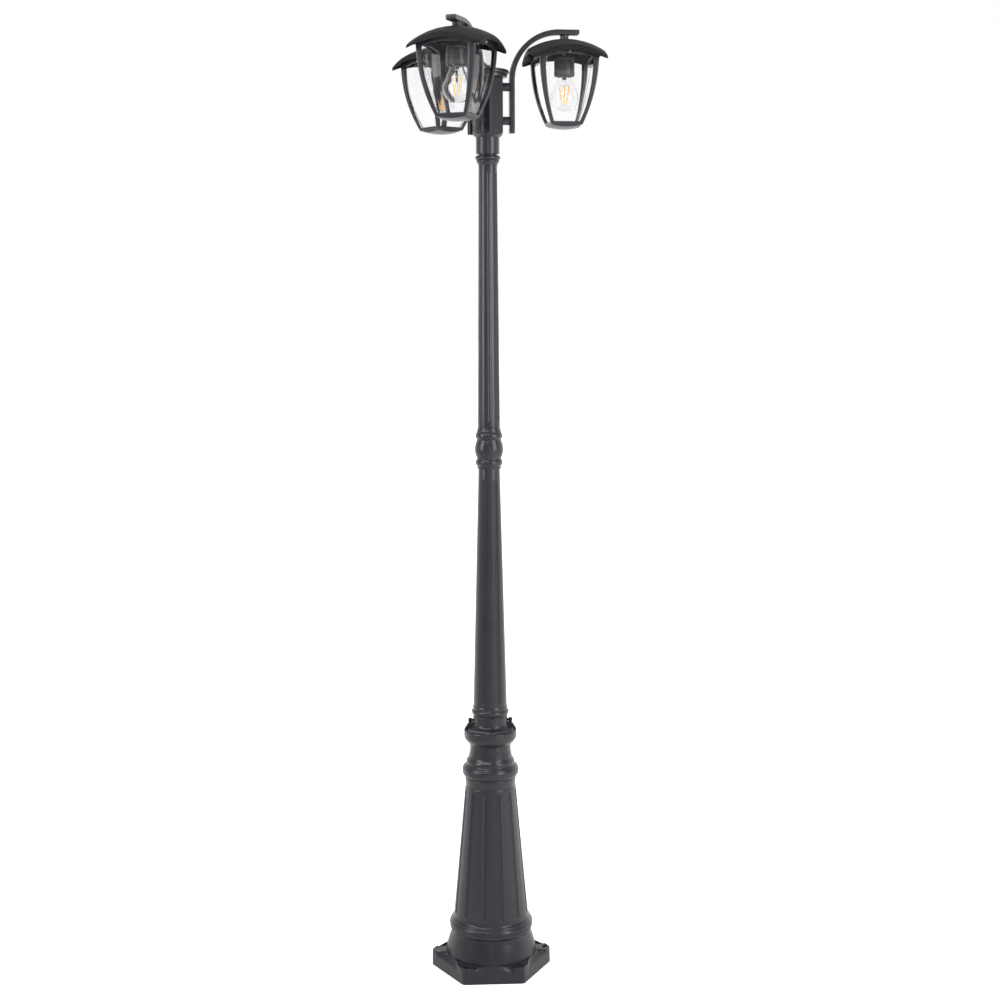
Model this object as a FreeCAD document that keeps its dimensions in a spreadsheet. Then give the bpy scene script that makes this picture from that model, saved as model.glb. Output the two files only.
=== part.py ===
import FreeCAD, Part
import math
import os
import re
import Sketcher

# Street lamp post: a cast base and a two-piece fluted pole carry a head with three arms,
# and a square lantern with a clear bulb hangs from each arm.
# Origin at the centre of the plinth's underside, +Z up. Millimetres and degrees.

SIZES = {
    # plinth: a hexagon whose flat side faces -Y
    "plinth_corner": 137.0, "plinth_pad": 36.5, "facet_low": 27.0, "facet_high": 35.0,
    "facet_reach": 104.0, "facet_length": 94.0, "corner_round": 10.0, "bolt_circle": 123.0, "bolt_hole": 6.0,
    "recess_radius": 100.0, "recess_height": 26.0,
    # bell, cone and rings of the base
    "bell_foot": 103.0, "bell_head": 90.3, "bell_top": 81.6, "band_foot": 89.8,
    "band_bottom": 87.4, "band_radius": 94.7, "band_middle": 101.5, "band_head": 89.2,
    "band_top": 114.5, "cone_foot": 84.6, "cone_bottom": 120.0, "cone_head": 56.8,
    "cone_top": 430.0, "ring_radius": 63.5, "ring_bottom": 447.0, "ring_middle": 461.0,
    "ring_top": 474.0, "cove_foot": 54.5, "cove_bottom": 482.0, "neck_radius": 45.8,
    "base_top": 518.0, "wall": 6.5, "socket_radius": 30.2,
    # collar
    "collar_foot": 46.5, "collar_radius": 59.4, "collar_belly": 541.0, "collar_rim": 550.0,
    "collar_tier": 558.0, "collar_neck": 38.6, "collar_top": 587.0, "neck_foot": 568.0,
    "screw_height": 576.0, "screw_head": 5.0, "screw_shank": 3.0, "screw_reach": 50.0,
    "screw_neck": 41.5, "lug_width": 11.0, "lug_reach": 49.0, "lug_top": 570.0,
    # poles
    "pole_wall": 5.2, "spigot_radius": 30.0, "spigot_bottom": 470.0, "bead_radius": 41.8,
    "bead_middle": 595.5, "bead_top": 603.0, "fillet_radius": 38.9, "fillet_top": 609.0, "lower_foot": 37.6,
    "lower_bottom": 613.0, "lower_head": 23.6,
    "lower_top": 1146.0, "lower_bore": 18.0, "upper_foot": 24.4, "upper_head": 20.0,
    "upper_bottom": 1237.0, "upper_top": 1801.0, "upper_bore": 14.5,
    # knuckle
    "knuckle_ring": 29.5, "knuckle_groove": 26.8, "knuckle_ball_bottom": 1170.0,
    "knuckle_ball_top": 1210.0, "knuckle_edge": 26.2, "knuckle_bore": 11.0, "knuckle_spigot": 35.0,
    # capital and head
    "capital_ring": 27.4, "capital_bead": 24.6, "capital_foot": 20.2, "capital_top": 1824.0,
    "capital_bead_top": 1813.0, "pivot_radius": 20.0, "pivot_top": 1866.0, "pivot_fit": 0.05,
    "sleeve_radius": 25.4, "sleeve_bottom": 1827.5, "sleeve_top": 1862.5, "column_bottom": 1866.5,
    "column_flat": 30.8, "column_bevel": 8.0, "column_top": 1988.0, "column_bore": 25.0,
    "shoulder_top": 1872.0, "cable_bore": 8.0,
    "cap_lower": 42.2, "cap_upper": 46.2, "cap_step": 1995.0, "cap_top": 2006.5,
    "cap_rise": 5.0, "cap_screw_circle": 20.0, "cap_screw_head": 3.6, "cap_screw_shank": 1.6,
    "grub_radius": 2.5,
    "block_length": 26.0, "block_width": 18.0, "block_height": 30.0,
    # arms: bar section, and the bend's outer radius
    "arm_angle": 5.7, "arm_width": 22.0, "arm_depth": 10.8, "arm_wall": 2.0, "arm_inner": 47.2,
    "arm_bottom": 1871.5, "arm_bend": 108.0, "arm_top": 2090.0, "arm_end": 198.3, "arm_chamfer": 2.0,
    "standoff_radius": 9.1, "standoff_low": 1897.8, "standoff_high": 1968.7, "wire_bore": 4.0,
    # lanterns
    "lantern_reach": 167.2, "stem_radius": 9.0, "nipple_radius": 4.9, "nipple_hole": 5.0, "nipple_bore": 3.5,
    "nut_radius": 8.0, "nut_height": 5.0, "nut_gap": 0.3,
    "roof_top": 2070.2, "roof_dome": 160.0, "roof_side": 81.0, "roof_corner": 12.0,
    "roof_sheet": 2.5, "roof_edge": 6.0, "fascia_dome": 200.0, "fascia_middle": 2037.0, "tab_width": 14.0,
    "tab_sheet": 2.0, "tab_bottom": 2034.5,
    # the cage's walls bow outward on one arc, widest at bow_middle
    "cage_top": 2056.0, "cage_bottom": 1889.0, "cage_half": 63.5, "bow_radius": 370.0,
    "bow_middle": 2034.0, "cage_sheet": 3.0, "cage_gap": 1.0, "pan_dome": 133.0, "pan_depth": 7.8,
    "window_bottom": 1895.5, "window_side": 2026.5, "window_arch": 2033.0, "post_head": 12.8,
    "post_foot": 7.5, "drain_radius": 2.0, "pane_top": 2034.0, "pane_sheet": 2.0, "pane_gap": 0.2,
    "thumb_radius": 3.6, "thumb_head": 3.5, "thumb_shank": 1.9, "thumb_height": 2037.5,
    # lampholder and bulb
    "holder_radius": 22.0, "holder_top": 2034.5, "holder_bottom": 1992.5, "holder_bore": 14.0,
    "holder_mouth": 18.0, "holder_mouth_top": 2001.0, "holder_floor": 2027.0,
    "bulb_bottom": 1917.0, "bulb_middle": 1949.0, "bulb_radius": 30.0, "bulb_neck": 15.4,
    "neck_bottom": 1988.0, "bulb_flare": 23.0, "flare_height": 1973.0, "bulb_shell": 0.9,
    "cap_radius": 13.2, "cap_bottom": 1996.0, "bulb_cap_top": 2017.0, "contact_radius": 4.5,
    "contact_top": 2023.0, "stem_glass_radius": 3.2, "stem_glass_bottom": 1958.0,
    "filament_radius": 0.9, "filament_circle": 7.0, "filament_bottom": 1934.0, "filament_top": 1972.0,
}

# the three lanterns stand at thirds of a turn
LANTERNS = {1: 0, 2: 120, 3: 240}
CENTRE = FreeCAD.Vector(0, 0, 0)
UP = FreeCAD.Vector(0, 0, 1)

doc = FreeCAD.newDocument("street_lamp_post")
sheet = doc.addObject("Spreadsheet::Sheet", "Sizes")
for row, (alias, size) in enumerate(SIZES.items(), 1):
    sheet.set(f"A{row}", alias)
    sheet.set(f"B{row}", str(size))
    sheet.setAlias(f"B{row}", alias)
doc.recompute()

NODES = []


def cell(expression):
    """The expression with each alias pointing into the sheet."""
    return re.sub(r"\b([a-z]\w*)\b(?!\()", r"Sizes.\1", str(expression))


def size(expression):
    """The expression's value now."""
    value = sheet.evalExpression(cell(expression))
    return float(getattr(value, "Value", value))


def bind(thing, **properties):
    for name, expression in properties.items():
        thing.setExpression(name.replace("__", "."), cell(expression))


def node(thing, label):
    """Keep this object as one piece of the lamp."""
    thing.Label = label
    NODES.append(thing)
    return thing


def plane(body, role):
    return next(item for item in body.Origin.OriginFeatures if item.Role == role)


def new_sketch(body, role="XZ_Plane", lift=0, turn=0):
    """A sketch on one of the body's own planes, raised along the plane's normal and turned about +Z."""
    sketch = body.newObject("Sketcher::SketchObject", "Outline")
    sketch.AttachmentSupport = [(plane(body, role), "")]
    sketch.MapMode = "FlatFace"
    if role == "XZ_Plane":
        rotation = FreeCAD.Rotation(FreeCAD.Vector(0, 1, 0), turn)
    else:
        rotation = FreeCAD.Rotation(FreeCAD.Vector(0, 0, 1), turn)
    sketch.AttachmentOffset = FreeCAD.Placement(CENTRE, rotation)
    if lift:
        sketch.setExpression("AttachmentOffset.Base.z", cell(lift))
    return sketch


def hold(sketch, geometry, end, corner):
    """Fix one end of an edge at a corner whose two coordinates are bound to the sheet."""
    for kind, expression in zip(("DistanceX", "DistanceY"), corner):
        number = sketch.addConstraint(
            Sketcher.Constraint(kind, -1, 1, geometry, end, size(expression)))
        sketch.setExpression(f"Constraints[{number}]", cell(expression))


def arc_between(start, end, radius):
    """The arc of a given radius; a positive one bulges to the right of the way from start to end."""
    chord = end - start
    side = FreeCAD.Vector(chord.y, -chord.x, 0).normalize()
    reach = max(abs(radius), chord.Length / 2)
    rise = reach - math.sqrt(reach ** 2 - (chord.Length / 2) ** 2)
    middle = (start + end) / 2 + side * math.copysign(rise, radius)
    return Part.Arc(start, middle, end)


def dome_radius(half, rise):
    """The radius of a dome centred on the axis, from its half width and its rise."""
    return f"((({half})^2 + {rise}^2) / (2 * {rise}))"


def draw(sketch, corners):
    """Close a loop through the corners. A third item is the radius of the arc that ends there."""
    points = [FreeCAD.Vector(size(corner[0]), size(corner[1]), 0) for corner in corners]
    edges = []
    for index, corner in enumerate(corners):
        start, end = points[index - 1], points[index]
        radius = size(corner[2]) if len(corner) > 2 else 0
        curve = arc_between(start, end, radius) if radius else Part.LineSegment(start, end)
        geometry = sketch.addGeometry(curve, False)
        # an arc is always kept counter-clockwise, so its ends may be the other way round
        ends = (2, 1) if radius < 0 else (1, 2)
        edges.append((geometry, *ends, radius))
    for index, (geometry, first, last, radius) in enumerate(edges):
        following, its_first = edges[(index + 1) % len(edges)][:2]
        sketch.addConstraint(Sketcher.Constraint("Coincident", geometry, last, following, its_first))
        hold(sketch, geometry, last, corners[index][:2])
        if radius:
            number = sketch.addConstraint(Sketcher.Constraint("Radius", geometry, abs(radius)))
            sketch.setExpression(f"Constraints[{number}]", cell(f"abs({corners[index][2]})"))
    return sketch


def draw_circle(sketch, radius, centre=("0", "0")):
    geometry = sketch.addGeometry(
        Part.Circle(FreeCAD.Vector(size(centre[0]), size(centre[1]), 0), UP, size(radius)), False)
    number = sketch.addConstraint(Sketcher.Constraint("Radius", geometry, size(radius)))
    sketch.setExpression(f"Constraints[{number}]", cell(radius))
    hold(sketch, geometry, 3, centre)
    return sketch


def draw_hexagon(sketch, radius, turn=0, rounding=None):
    """A regular hexagon with a corner at +X, turned by some degrees, with its corners rounded if asked."""
    corners = []
    for step in range(6):
        angle = 60 * step + turn
        corner = [f"({radius}) * {wave(math.radians(angle)):.9f}" for wave in (math.cos, math.sin)]
        if not rounding:
            corners.append(tuple(corner))
            continue
        cut = f"({rounding}) * {math.tan(math.pi / 6):.9f}"
        for bend, sign, arc in ((60, "-", ()), (120, "+", (rounding,))):
            along = math.radians(angle + bend)
            corners.append((f"{corner[0]} {sign} {cut} * {math.cos(along):.9f}",
                            f"{corner[1]} {sign} {cut} * {math.sin(along):.9f}") + arc)
    return draw(sketch, corners)


def new_body(label):
    body = doc.addObject("PartDesign::Body", "Body")
    return node(body, label)


def revolve(body, corners, cut=False, turn=0):
    sketch = draw(new_sketch(body, turn=turn), corners)
    kind = "PartDesign::Groove" if cut else "PartDesign::Revolution"
    feature = body.newObject(kind, "Turned")
    feature.Profile = sketch
    feature.ReferenceAxis = (sketch, ["V_Axis"])
    feature.Angle = 360
    return feature


def pad(body, sketch, length, both=False):
    feature = body.newObject("PartDesign::Pad", "Padded")
    feature.Profile = sketch
    bind(feature, Length=length)
    feature.Midplane = both
    return feature


def pocket(body, sketch, length, both=False, reverse=False):
    feature = body.newObject("PartDesign::Pocket", "Pocketed")
    feature.Profile = sketch
    bind(feature, Length=length)
    feature.Midplane = both
    feature.Reversed = reverse
    return feature


def repeat(body, feature, count):
    """The same feature several times around +Z."""
    pattern = body.newObject("PartDesign::PolarPattern", "Repeated")
    pattern.Originals = [feature]
    pattern.Axis = (plane(body, "Z_Axis"), [""])
    pattern.Angle = 360
    pattern.Occurrences = count
    body.Tip = pattern
    return pattern


def flute(body, low, high, width, depth, turn):
    """A straight groove with round ends along a tapered wall, from (radius, height) to (radius, height)."""
    radius = (width ** 2 / 4 + depth ** 2) / (2 * depth)
    sketch = new_sketch(body, turn=turn)
    ends = [FreeCAD.Vector(size(r) + radius - depth, size(z), 0) for r, z in (low, high)]
    along = (ends[1] - ends[0]).normalize()
    outward = FreeCAD.Vector(along.y, -along.x, 0)
    tip_low, tip_high = ends[0] - along * radius, ends[1] + along * radius
    side_low, side_high = ends[0] + outward * radius, ends[1] + outward * radius
    bend = math.sqrt(0.5)
    edge_low = ends[0] + (outward - along) * (radius * bend)
    edge_high = ends[1] + (outward + along) * (radius * bend)
    sketch.addGeometry(Part.LineSegment(tip_low, tip_high), False)
    sketch.addGeometry(Part.LineSegment(tip_low, tip_high), True)
    sketch.addGeometry(Part.Arc(tip_low, edge_low, side_low), False)
    sketch.addGeometry(Part.LineSegment(side_low, side_high), False)
    sketch.addGeometry(Part.Arc(side_high, edge_high, tip_high), False)
    feature = body.newObject("PartDesign::Groove", "Flute")
    feature.Profile = sketch
    feature.ReferenceAxis = (sketch, ["Axis0"])
    feature.Angle = 360
    return feature


def cylinder(radius, bottom, top, bore=None, base=("0", "0"), label=None):
    """An upright cylinder, or a tube if it has a bore."""
    def solid(wide):
        item = doc.addObject("Part::Cylinder", "Cylinder")
        bind(item, Radius=wide, Height=f"({top}) - ({bottom})", Placement__Base__x=base[0],
             Placement__Base__y=base[1], Placement__Base__z=bottom)
        return item
    result = solid(radius)
    if bore:
        result = subtract(result, [solid(bore)])
    return node(result, label) if label else result


def bar_along_x(radius, inner, outer, height, turn=0, bore=None):
    """A level cylinder pointing away from the axis, from one radius to another."""
    def solid(wide):
        item = doc.addObject("Part::Cylinder", "Bar")
        bind(item, Radius=wide, Height=f"({outer}) - ({inner})")
        level = FreeCAD.Rotation(FreeCAD.Vector(0, 1, 0), 90)
        spin = FreeCAD.Rotation(UP, turn)
        place = spin.multVec(FreeCAD.Vector(size(inner), 0, size(height)))
        item.Placement = FreeCAD.Placement(place, spin.multiply(level))
        return item
    result = solid(radius)
    return subtract(result, [solid(bore)]) if bore else result


def box(x, y, z):
    """A box between the two ends given for each direction."""
    item = doc.addObject("Part::Box", "Box")
    for letter, side, (low, high) in zip("xyz", ("Length", "Width", "Height"), (x, y, z)):
        item.setExpression(side, cell(f"({high}) - ({low})"))
        item.setExpression(f"Placement.Base.{letter}", cell(low))
    return item


def subtract(base, tools):
    for tool in tools:
        cut = doc.addObject("Part::Cut", "Cut")
        cut.Base, cut.Tool = base, tool
        base = cut
    return base


def common(first, second):
    shared = doc.addObject("Part::Common", "Common")
    shared.Base, shared.Tool = first, second
    return shared


def fuse(shapes):
    joined = doc.addObject("Part::MultiFuse", "Fusion")
    joined.Shapes = shapes
    return joined


def group(shapes, label=None):
    """Several separate solids in one object."""
    together = doc.addObject("Part::Compound", "Group")
    together.Links = shapes
    return node(together, label) if label else together


def around(thing, turn, reach="0"):
    """Move a thing out along +X and then around +Z."""
    spin = FreeCAD.Rotation(UP, turn)
    thing.Placement = FreeCAD.Placement(spin.multVec(FreeCAD.Vector(size(reach), 0, 0)), spin)
    return thing


def build_base():
    body = new_body("base_casting")
    revolve(body, [
        ("recess_radius", 0), ("plinth_corner", 0), ("plinth_corner", "plinth_pad"),
        ("bell_foot", "plinth_pad"), ("bell_head", "bell_top", 270), ("band_foot", "band_bottom"),
        ("band_radius", "band_middle", 24), ("band_head", "band_top", 20),
        ("cone_foot", "cone_bottom", -12), ("cone_head", "cone_top"), ("cone_head", "ring_bottom"),
        ("ring_radius", "ring_middle", 15), ("cone_head", "ring_top", 15),
        ("cove_foot", "cove_bottom"), ("neck_radius", "base_top", -75), ("socket_radius", "base_top"),
        ("socket_radius", "cone_top + 10"), ("cone_head - wall", "cone_top - 10"),
        ("cone_foot - wall", "band_top"), ("band_foot - wall", "bell_top - 6"),
        ("recess_radius", "recess_height"),
    ])
    rim = new_sketch(body, "XY_Plane")
    draw_hexagon(rim, "plinth_corner", rounding="corner_round")
    draw_circle(rim, "plinth_corner + 20")
    pocket(body, rim, "plinth_pad + 1", reverse=True)
    flat = f"plinth_corner * {math.cos(math.pi / 6):.9f}"
    facet = draw(new_sketch(body, "YZ_Plane"), [
        (f"-({flat}) - 1", "facet_low"), (f"-({flat})", "facet_low"), ("-facet_reach", "facet_high"),
        ("-facet_reach", "plinth_pad + 1"), (f"-({flat}) - 1", "plinth_pad + 1"),
    ])
    repeat(body, pocket(body, facet, "facet_length", both=True), 6)
    hole = new_sketch(body, "XY_Plane")
    draw_circle(hole, "bolt_hole", ("bolt_circle", "0"))
    repeat(body, pocket(body, hole, "plinth_pad + 1", reverse=True), 3)
    groove = flute(body, ("cone_foot - 0.6", "cone_bottom + 8"), ("cone_head + 1", "cone_top - 16"),
                   width=9.5, depth=2.6, turn=15)
    repeat(body, groove, 12)


def build_collar():
    body = new_body("collar")
    revolve(body, [
        ("socket_radius", "base_top"), ("collar_foot", "base_top"),
        ("collar_radius", "collar_belly", 26), ("collar_radius", "collar_tier"),
        ("collar_neck + 8", "collar_tier + 2"), ("collar_neck", "neck_foot", -10),
        ("collar_neck", "collar_top"), ("socket_radius", "collar_top"),
    ])
    tier = new_sketch(body, "XY_Plane", lift="collar_rim")
    draw_hexagon(tier, "collar_radius - 0.4", turn=30)
    draw_circle(tier, "collar_radius + 5")
    pocket(body, tier, "collar_top - collar_rim", reverse=True)
    lug = new_sketch(body, "XZ_Plane")
    draw(lug, [("collar_neck - 2", "collar_rim"), ("collar_radius - 9", "collar_rim"),
               ("lug_reach", "lug_top"), ("collar_neck - 2", "lug_top")])
    repeat(body, pad(body, lug, "lug_width", both=True), 2)
    hole = draw_circle(new_sketch(body, "YZ_Plane"), "screw_shank + 0.1", ("0", "screw_height"))
    pocket(body, hole, "2 * collar_radius", both=True)


def build_clamp_screws():
    screws = []
    for turn in (0, 180):
        shank = bar_along_x("screw_shank", "spigot_radius", "screw_neck", "screw_height", turn)
        head = bar_along_x("screw_head", "screw_neck", "screw_reach", "screw_height", turn)
        screws.append(fuse([shank, head]))
    group(screws, "clamp_screws")


def build_lower_pole():
    body = new_body("lower_pole")
    revolve(body, [
        ("spigot_radius - pole_wall", "spigot_bottom"), ("spigot_radius", "spigot_bottom"),
        ("spigot_radius", "collar_top"), ("lower_foot + 1", "collar_top"),
        ("bead_radius", "bead_middle", 11), ("fillet_radius - 0.5", "bead_top", 11),
        ("fillet_radius - 0.5", "fillet_top", 4), ("lower_foot", "lower_bottom"),
        ("lower_head", "lower_top"), ("lower_bore", "lower_top"),
        ("lower_bore", "lower_top - knuckle_spigot"), ("lower_foot - pole_wall", "fillet_top"),
        ("spigot_radius - pole_wall", "collar_top - 8"),
    ])
    groove = flute(body, ("lower_foot", "lower_bottom + 8"), ("lower_head + 0.6", "lower_top - 26"),
                   width=9, depth=2.4, turn=0)
    repeat(body, groove, 6)


def build_knuckle():
    body = new_body("knuckle")
    revolve(body, [
        ("knuckle_bore", "lower_top - knuckle_spigot"), ("lower_bore", "lower_top - knuckle_spigot"),
        ("lower_bore", "lower_top"), ("knuckle_edge - 1", "lower_top"),
        ("knuckle_edge", "lower_top + 7", 12), ("knuckle_ring", "lower_top + 15", 9),
        ("knuckle_groove", "lower_top + 22", 8), ("knuckle_groove", "knuckle_ball_bottom"),
        ("knuckle_groove", "knuckle_ball_top", 46), ("knuckle_ring", "knuckle_ball_top + 11", 9),
        ("knuckle_edge", "upper_bottom - 7", 9), ("upper_foot + 1", "upper_bottom", 12),
        ("upper_bore", "upper_bottom"), ("upper_bore", "upper_bottom + knuckle_spigot"),
        ("knuckle_bore", "upper_bottom + knuckle_spigot"),
    ])


def build_upper_pole():
    body = new_body("upper_pole")
    revolve(body, [
        ("upper_bore", "upper_bottom"), ("upper_foot", "upper_bottom"),
        ("upper_head", "upper_top"), ("upper_bore", "upper_top"),
        ("upper_bore", "upper_top - knuckle_spigot"), ("upper_foot - pole_wall", "upper_bottom + 60"),
        ("upper_bore", "upper_bottom + knuckle_spigot"),
    ])
    groove = flute(body, ("upper_foot", "upper_bottom + 18"), ("upper_head + 0.3", "upper_top - 16"),
                   width=8, depth=2.2, turn=30)
    repeat(body, groove, 6)


def build_capital():
    body = new_body("pole_capital")
    revolve(body, [
        ("cable_bore", "upper_top - knuckle_spigot"), ("upper_bore", "upper_top - knuckle_spigot"),
        ("upper_bore", "upper_top"), ("capital_foot", "upper_top"),
        ("capital_bead - 1", "capital_bead_top - 4"), ("capital_bead", "capital_bead_top", 5),
        ("capital_ring", "capital_top - 5", 6), ("capital_bead", "capital_top", 6),
        ("pivot_radius", "capital_top"), ("pivot_radius", "pivot_top"), ("cable_bore", "pivot_top"),
    ])


def build_head_column():
    body = new_body("head_column")
    revolve(body, [
        ("pivot_radius + pivot_fit", "sleeve_bottom"), ("sleeve_radius", "sleeve_bottom"),
        ("sleeve_radius", "sleeve_top"), ("column_flat", "column_bottom"),
        ("column_flat", "column_bottom + 2"), ("cable_bore", "column_bottom + 2"),
        ("cable_bore", "pivot_top"), ("pivot_radius + pivot_fit", "pivot_top"),
    ])
    outline = draw_hexagon(new_sketch(body, "XY_Plane", lift="column_bottom", turn=SIZES["arm_angle"]),
                           f"column_flat / {math.cos(math.pi / 6):.9f}", turn=30)
    pad(body, outline, "column_top - column_bottom")
    revolve(body, [
        ("column_flat", "column_bottom"), ("column_flat + column_bevel", "column_bottom"),
        ("column_flat + column_bevel", "column_bottom + 1.4 * column_bevel"),
    ], cut=True)
    hollow = draw_circle(new_sketch(body, "XY_Plane", lift="shoulder_top"), "column_bore")
    pocket(body, hollow, "column_top - shoulder_top", reverse=True)
    entry = draw_circle(new_sketch(body, "XY_Plane", lift="pivot_top"), "cable_bore")
    pocket(body, entry, "shoulder_top - pivot_top", reverse=True)
    for height in ("standoff_low", "standoff_high"):
        for turn in LANTERNS.values():
            hole = new_sketch(body, "XZ_Plane", turn=SIZES["arm_angle"] + turn + 90)
            draw_circle(hole, "wire_bore", ("0", height))
            pocket(body, hole, "column_flat + 5", reverse=True)
    screw = draw_circle(new_sketch(body, "XZ_Plane", turn=SIZES["arm_angle"] + 90),
                        "grub_radius + 0.05", ("0", "sleeve_bottom + 18"))
    pocket(body, screw, "2 * sleeve_radius + 4", both=True)


def build_cap():
    body = new_body("head_cap")
    revolve(body, [
        (0, "column_top - 8"), ("column_bore - 0.2", "column_top - 8"),
        ("column_bore - 0.2", "column_top"), ("cap_lower", "column_top"),
        ("cap_lower", "cap_step"), ("cap_upper", "cap_step"), ("cap_upper", "cap_step + 3"),
        ("cap_upper - 4", "cap_top - cap_rise", 5),
        (0, "cap_top", dome_radius("cap_upper - 4", "cap_rise")),
    ])
    for radius, bottom in (("cap_screw_shank + 0.1", "column_top - 8"),
                           ("cap_screw_head + 0.1", "cap_top - 2")):
        hole = draw_circle(new_sketch(body, "XY_Plane", lift=bottom), radius, ("cap_screw_circle", "0"))
        repeat(body, pocket(body, hole, "cap_top - column_top + 8", reverse=True), 3)


def build_head_fasteners():
    """Cap screws between the arms, grub screws in the sleeve, and the terminal block inside."""
    screws = []
    for turn in LANTERNS.values():
        shank = cylinder("cap_screw_shank", "column_top - 8", "cap_top - 2", base=("cap_screw_circle", "0"))
        head = cylinder("cap_screw_head", "cap_top - 2", "cap_top + 1", base=("cap_screw_circle", "0"))
        screws.append(around(fuse([shank, head]), turn))
    group(screws, "cap_screws")
    grubs = [bar_along_x("grub_radius", "pivot_radius + 0.3", "sleeve_radius", "sleeve_bottom + 18",
                         SIZES["arm_angle"] + turn) for turn in (0, 180)]
    group(grubs, "head_grub_screws")
    block = box(("-block_length / 2", "block_length / 2"), ("-block_width / 2", "block_width / 2"),
                ("shoulder_top", "shoulder_top + block_height"))
    entries = [cylinder("2.4", "shoulder_top + 6", "shoulder_top + block_height",
                        base=(f"block_length * {step} / 3", "0")) for step in (-1, 0, 1)]
    node(subtract(block, entries), "terminal_block")


def build_arm(number, turn):
    """A bent rectangular tube: up beside the column, a quarter bend, and out over the lantern."""
    angle = SIZES["arm_angle"] + turn
    bend = "arm_inner + arm_bend"
    body = new_body(f"arm_{number}")
    outer = draw(new_sketch(body), [
        ("arm_inner", "arm_bottom"), ("arm_inner + arm_depth", "arm_bottom"),
        ("arm_inner + arm_depth", "arm_top - arm_bend"),
        (bend, "arm_top - arm_depth", "arm_depth - arm_bend"),
        ("arm_end - arm_chamfer", "arm_top - arm_depth"), ("arm_end", "arm_top - arm_depth + arm_chamfer"),
        ("arm_end", "arm_top"), (bend, "arm_top"), ("arm_inner", "arm_top - arm_bend", "arm_bend"),
    ])
    pad(body, outer, "arm_width", both=True)
    inner = draw(new_sketch(body), [
        ("arm_inner + arm_wall", "arm_bottom + arm_wall"),
        ("arm_inner + arm_depth - arm_wall", "arm_bottom + arm_wall"),
        ("arm_inner + arm_depth - arm_wall", "arm_top - arm_bend"),
        (bend, "arm_top - arm_depth + arm_wall", "arm_depth - arm_wall - arm_bend"),
        ("arm_end - arm_chamfer - 1", "arm_top - arm_depth + arm_wall"),
        ("arm_end - arm_chamfer - 1", "arm_top - arm_wall"), (bend, "arm_top - arm_wall"),
        ("arm_inner + arm_wall", "arm_top - arm_bend", "arm_bend - arm_wall"),
    ])
    pocket(body, inner, "arm_width - 2 * arm_wall", both=True)
    drop = draw_circle(new_sketch(body, "XY_Plane", lift="arm_top - arm_depth"), "nipple_hole",
                       ("lantern_reach", "0"))
    pocket(body, drop, "arm_wall", reverse=True)
    for height in ("standoff_low", "standoff_high"):
        entry = draw_circle(new_sketch(body, "YZ_Plane", lift="arm_inner"), "wire_bore", ("0", height))
        pocket(body, entry, "arm_wall", reverse=True)
    around(body, angle)


def build_standoffs():
    posts = [bar_along_x("standoff_radius", "column_flat", "arm_inner", height, SIZES["arm_angle"] + turn,
                         bore="wire_bore")
             for turn in LANTERNS.values() for height in ("standoff_low", "standoff_high")]
    group(posts, "arm_standoffs")


def build_hangers():
    """Stem under each arm, and the hollow nipple and locknut that hang the roof and the lampholder."""
    nipples, nuts = [], []
    for number, turn in LANTERNS.items():
        angle = SIZES["arm_angle"] + turn
        stem = cylinder("stem_radius", "roof_top", "arm_top - arm_depth", bore="nipple_hole")
        node(around(stem, angle, "lantern_reach"), f"stem_{number}")
        nipple = cylinder("nipple_radius", "holder_top - 6", "arm_top - arm_depth + 5", bore="nipple_bore")
        nipples.append(around(nipple, angle, "lantern_reach"))
        nut = cylinder("nut_radius", "roof_top - roof_sheet - nut_gap - nut_height",
                       "roof_top - roof_sheet - nut_gap", bore="nipple_hole")
        nuts.append(around(nut, angle, "lantern_reach"))
    group(nipples, "hanger_nipples")
    group(nuts, "hanger_locknuts")


def free_sketch(bottom="0", turn=0, upright=False):
    """A sketch outside any body: level at a height, or upright in a plane through the axis."""
    sketch = doc.addObject("Sketcher::SketchObject", "Section")
    if upright:
        spin = FreeCAD.Rotation(UP, turn)
        stand = FreeCAD.Rotation(FreeCAD.Vector(1, 0, 0), 90)
        sketch.Placement = FreeCAD.Placement(CENTRE, spin.multiply(stand))
    else:
        sketch.setExpression("Placement.Base.z", cell(bottom))
    return sketch


def extrude(sketch, length, both=False):
    solid = doc.addObject("Part::Extrusion", "Extruded")
    solid.Base = sketch
    solid.DirMode = "Normal"
    solid.Solid = True
    solid.Symmetric = both
    bind(solid, LengthFwd=length)
    return solid


def square_block(half, bottom, top, corner="roof_corner"):
    """A square prism with rounded upright edges."""
    flat, turned = f"({half}) - {corner}", f"{corner} - ({half})"
    low, high = f"-({half})", half
    sketch = draw(free_sketch(bottom), [
        (turned, low, corner), (flat, low), (high, turned, corner), (high, flat),
        (flat, high, corner), (turned, high), (low, flat, corner), (low, turned),
    ])
    return extrude(sketch, f"({top}) - ({bottom})")


def ball(radius, height):
    item = doc.addObject("Part::Sphere", "Ball")
    bind(item, Radius=radius, Placement__Base__z=height)
    return item


def round_top(thing, radius):
    """Round the edge where a domed top meets the upright sides."""
    doc.recompute()
    edges = thing.Shape.Edges
    dome = max(thing.Shape.Faces, key=lambda face: face.CenterOfMass.z)
    rounded = doc.addObject("Part::Fillet", "Rounded")
    rounded.Base = thing
    rounded.Edges = [(number, size(radius), size(radius)) for number, edge in enumerate(edges, 1)
                     if any(edge.isSame(other) for other in dome.Edges)]
    return rounded


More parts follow.
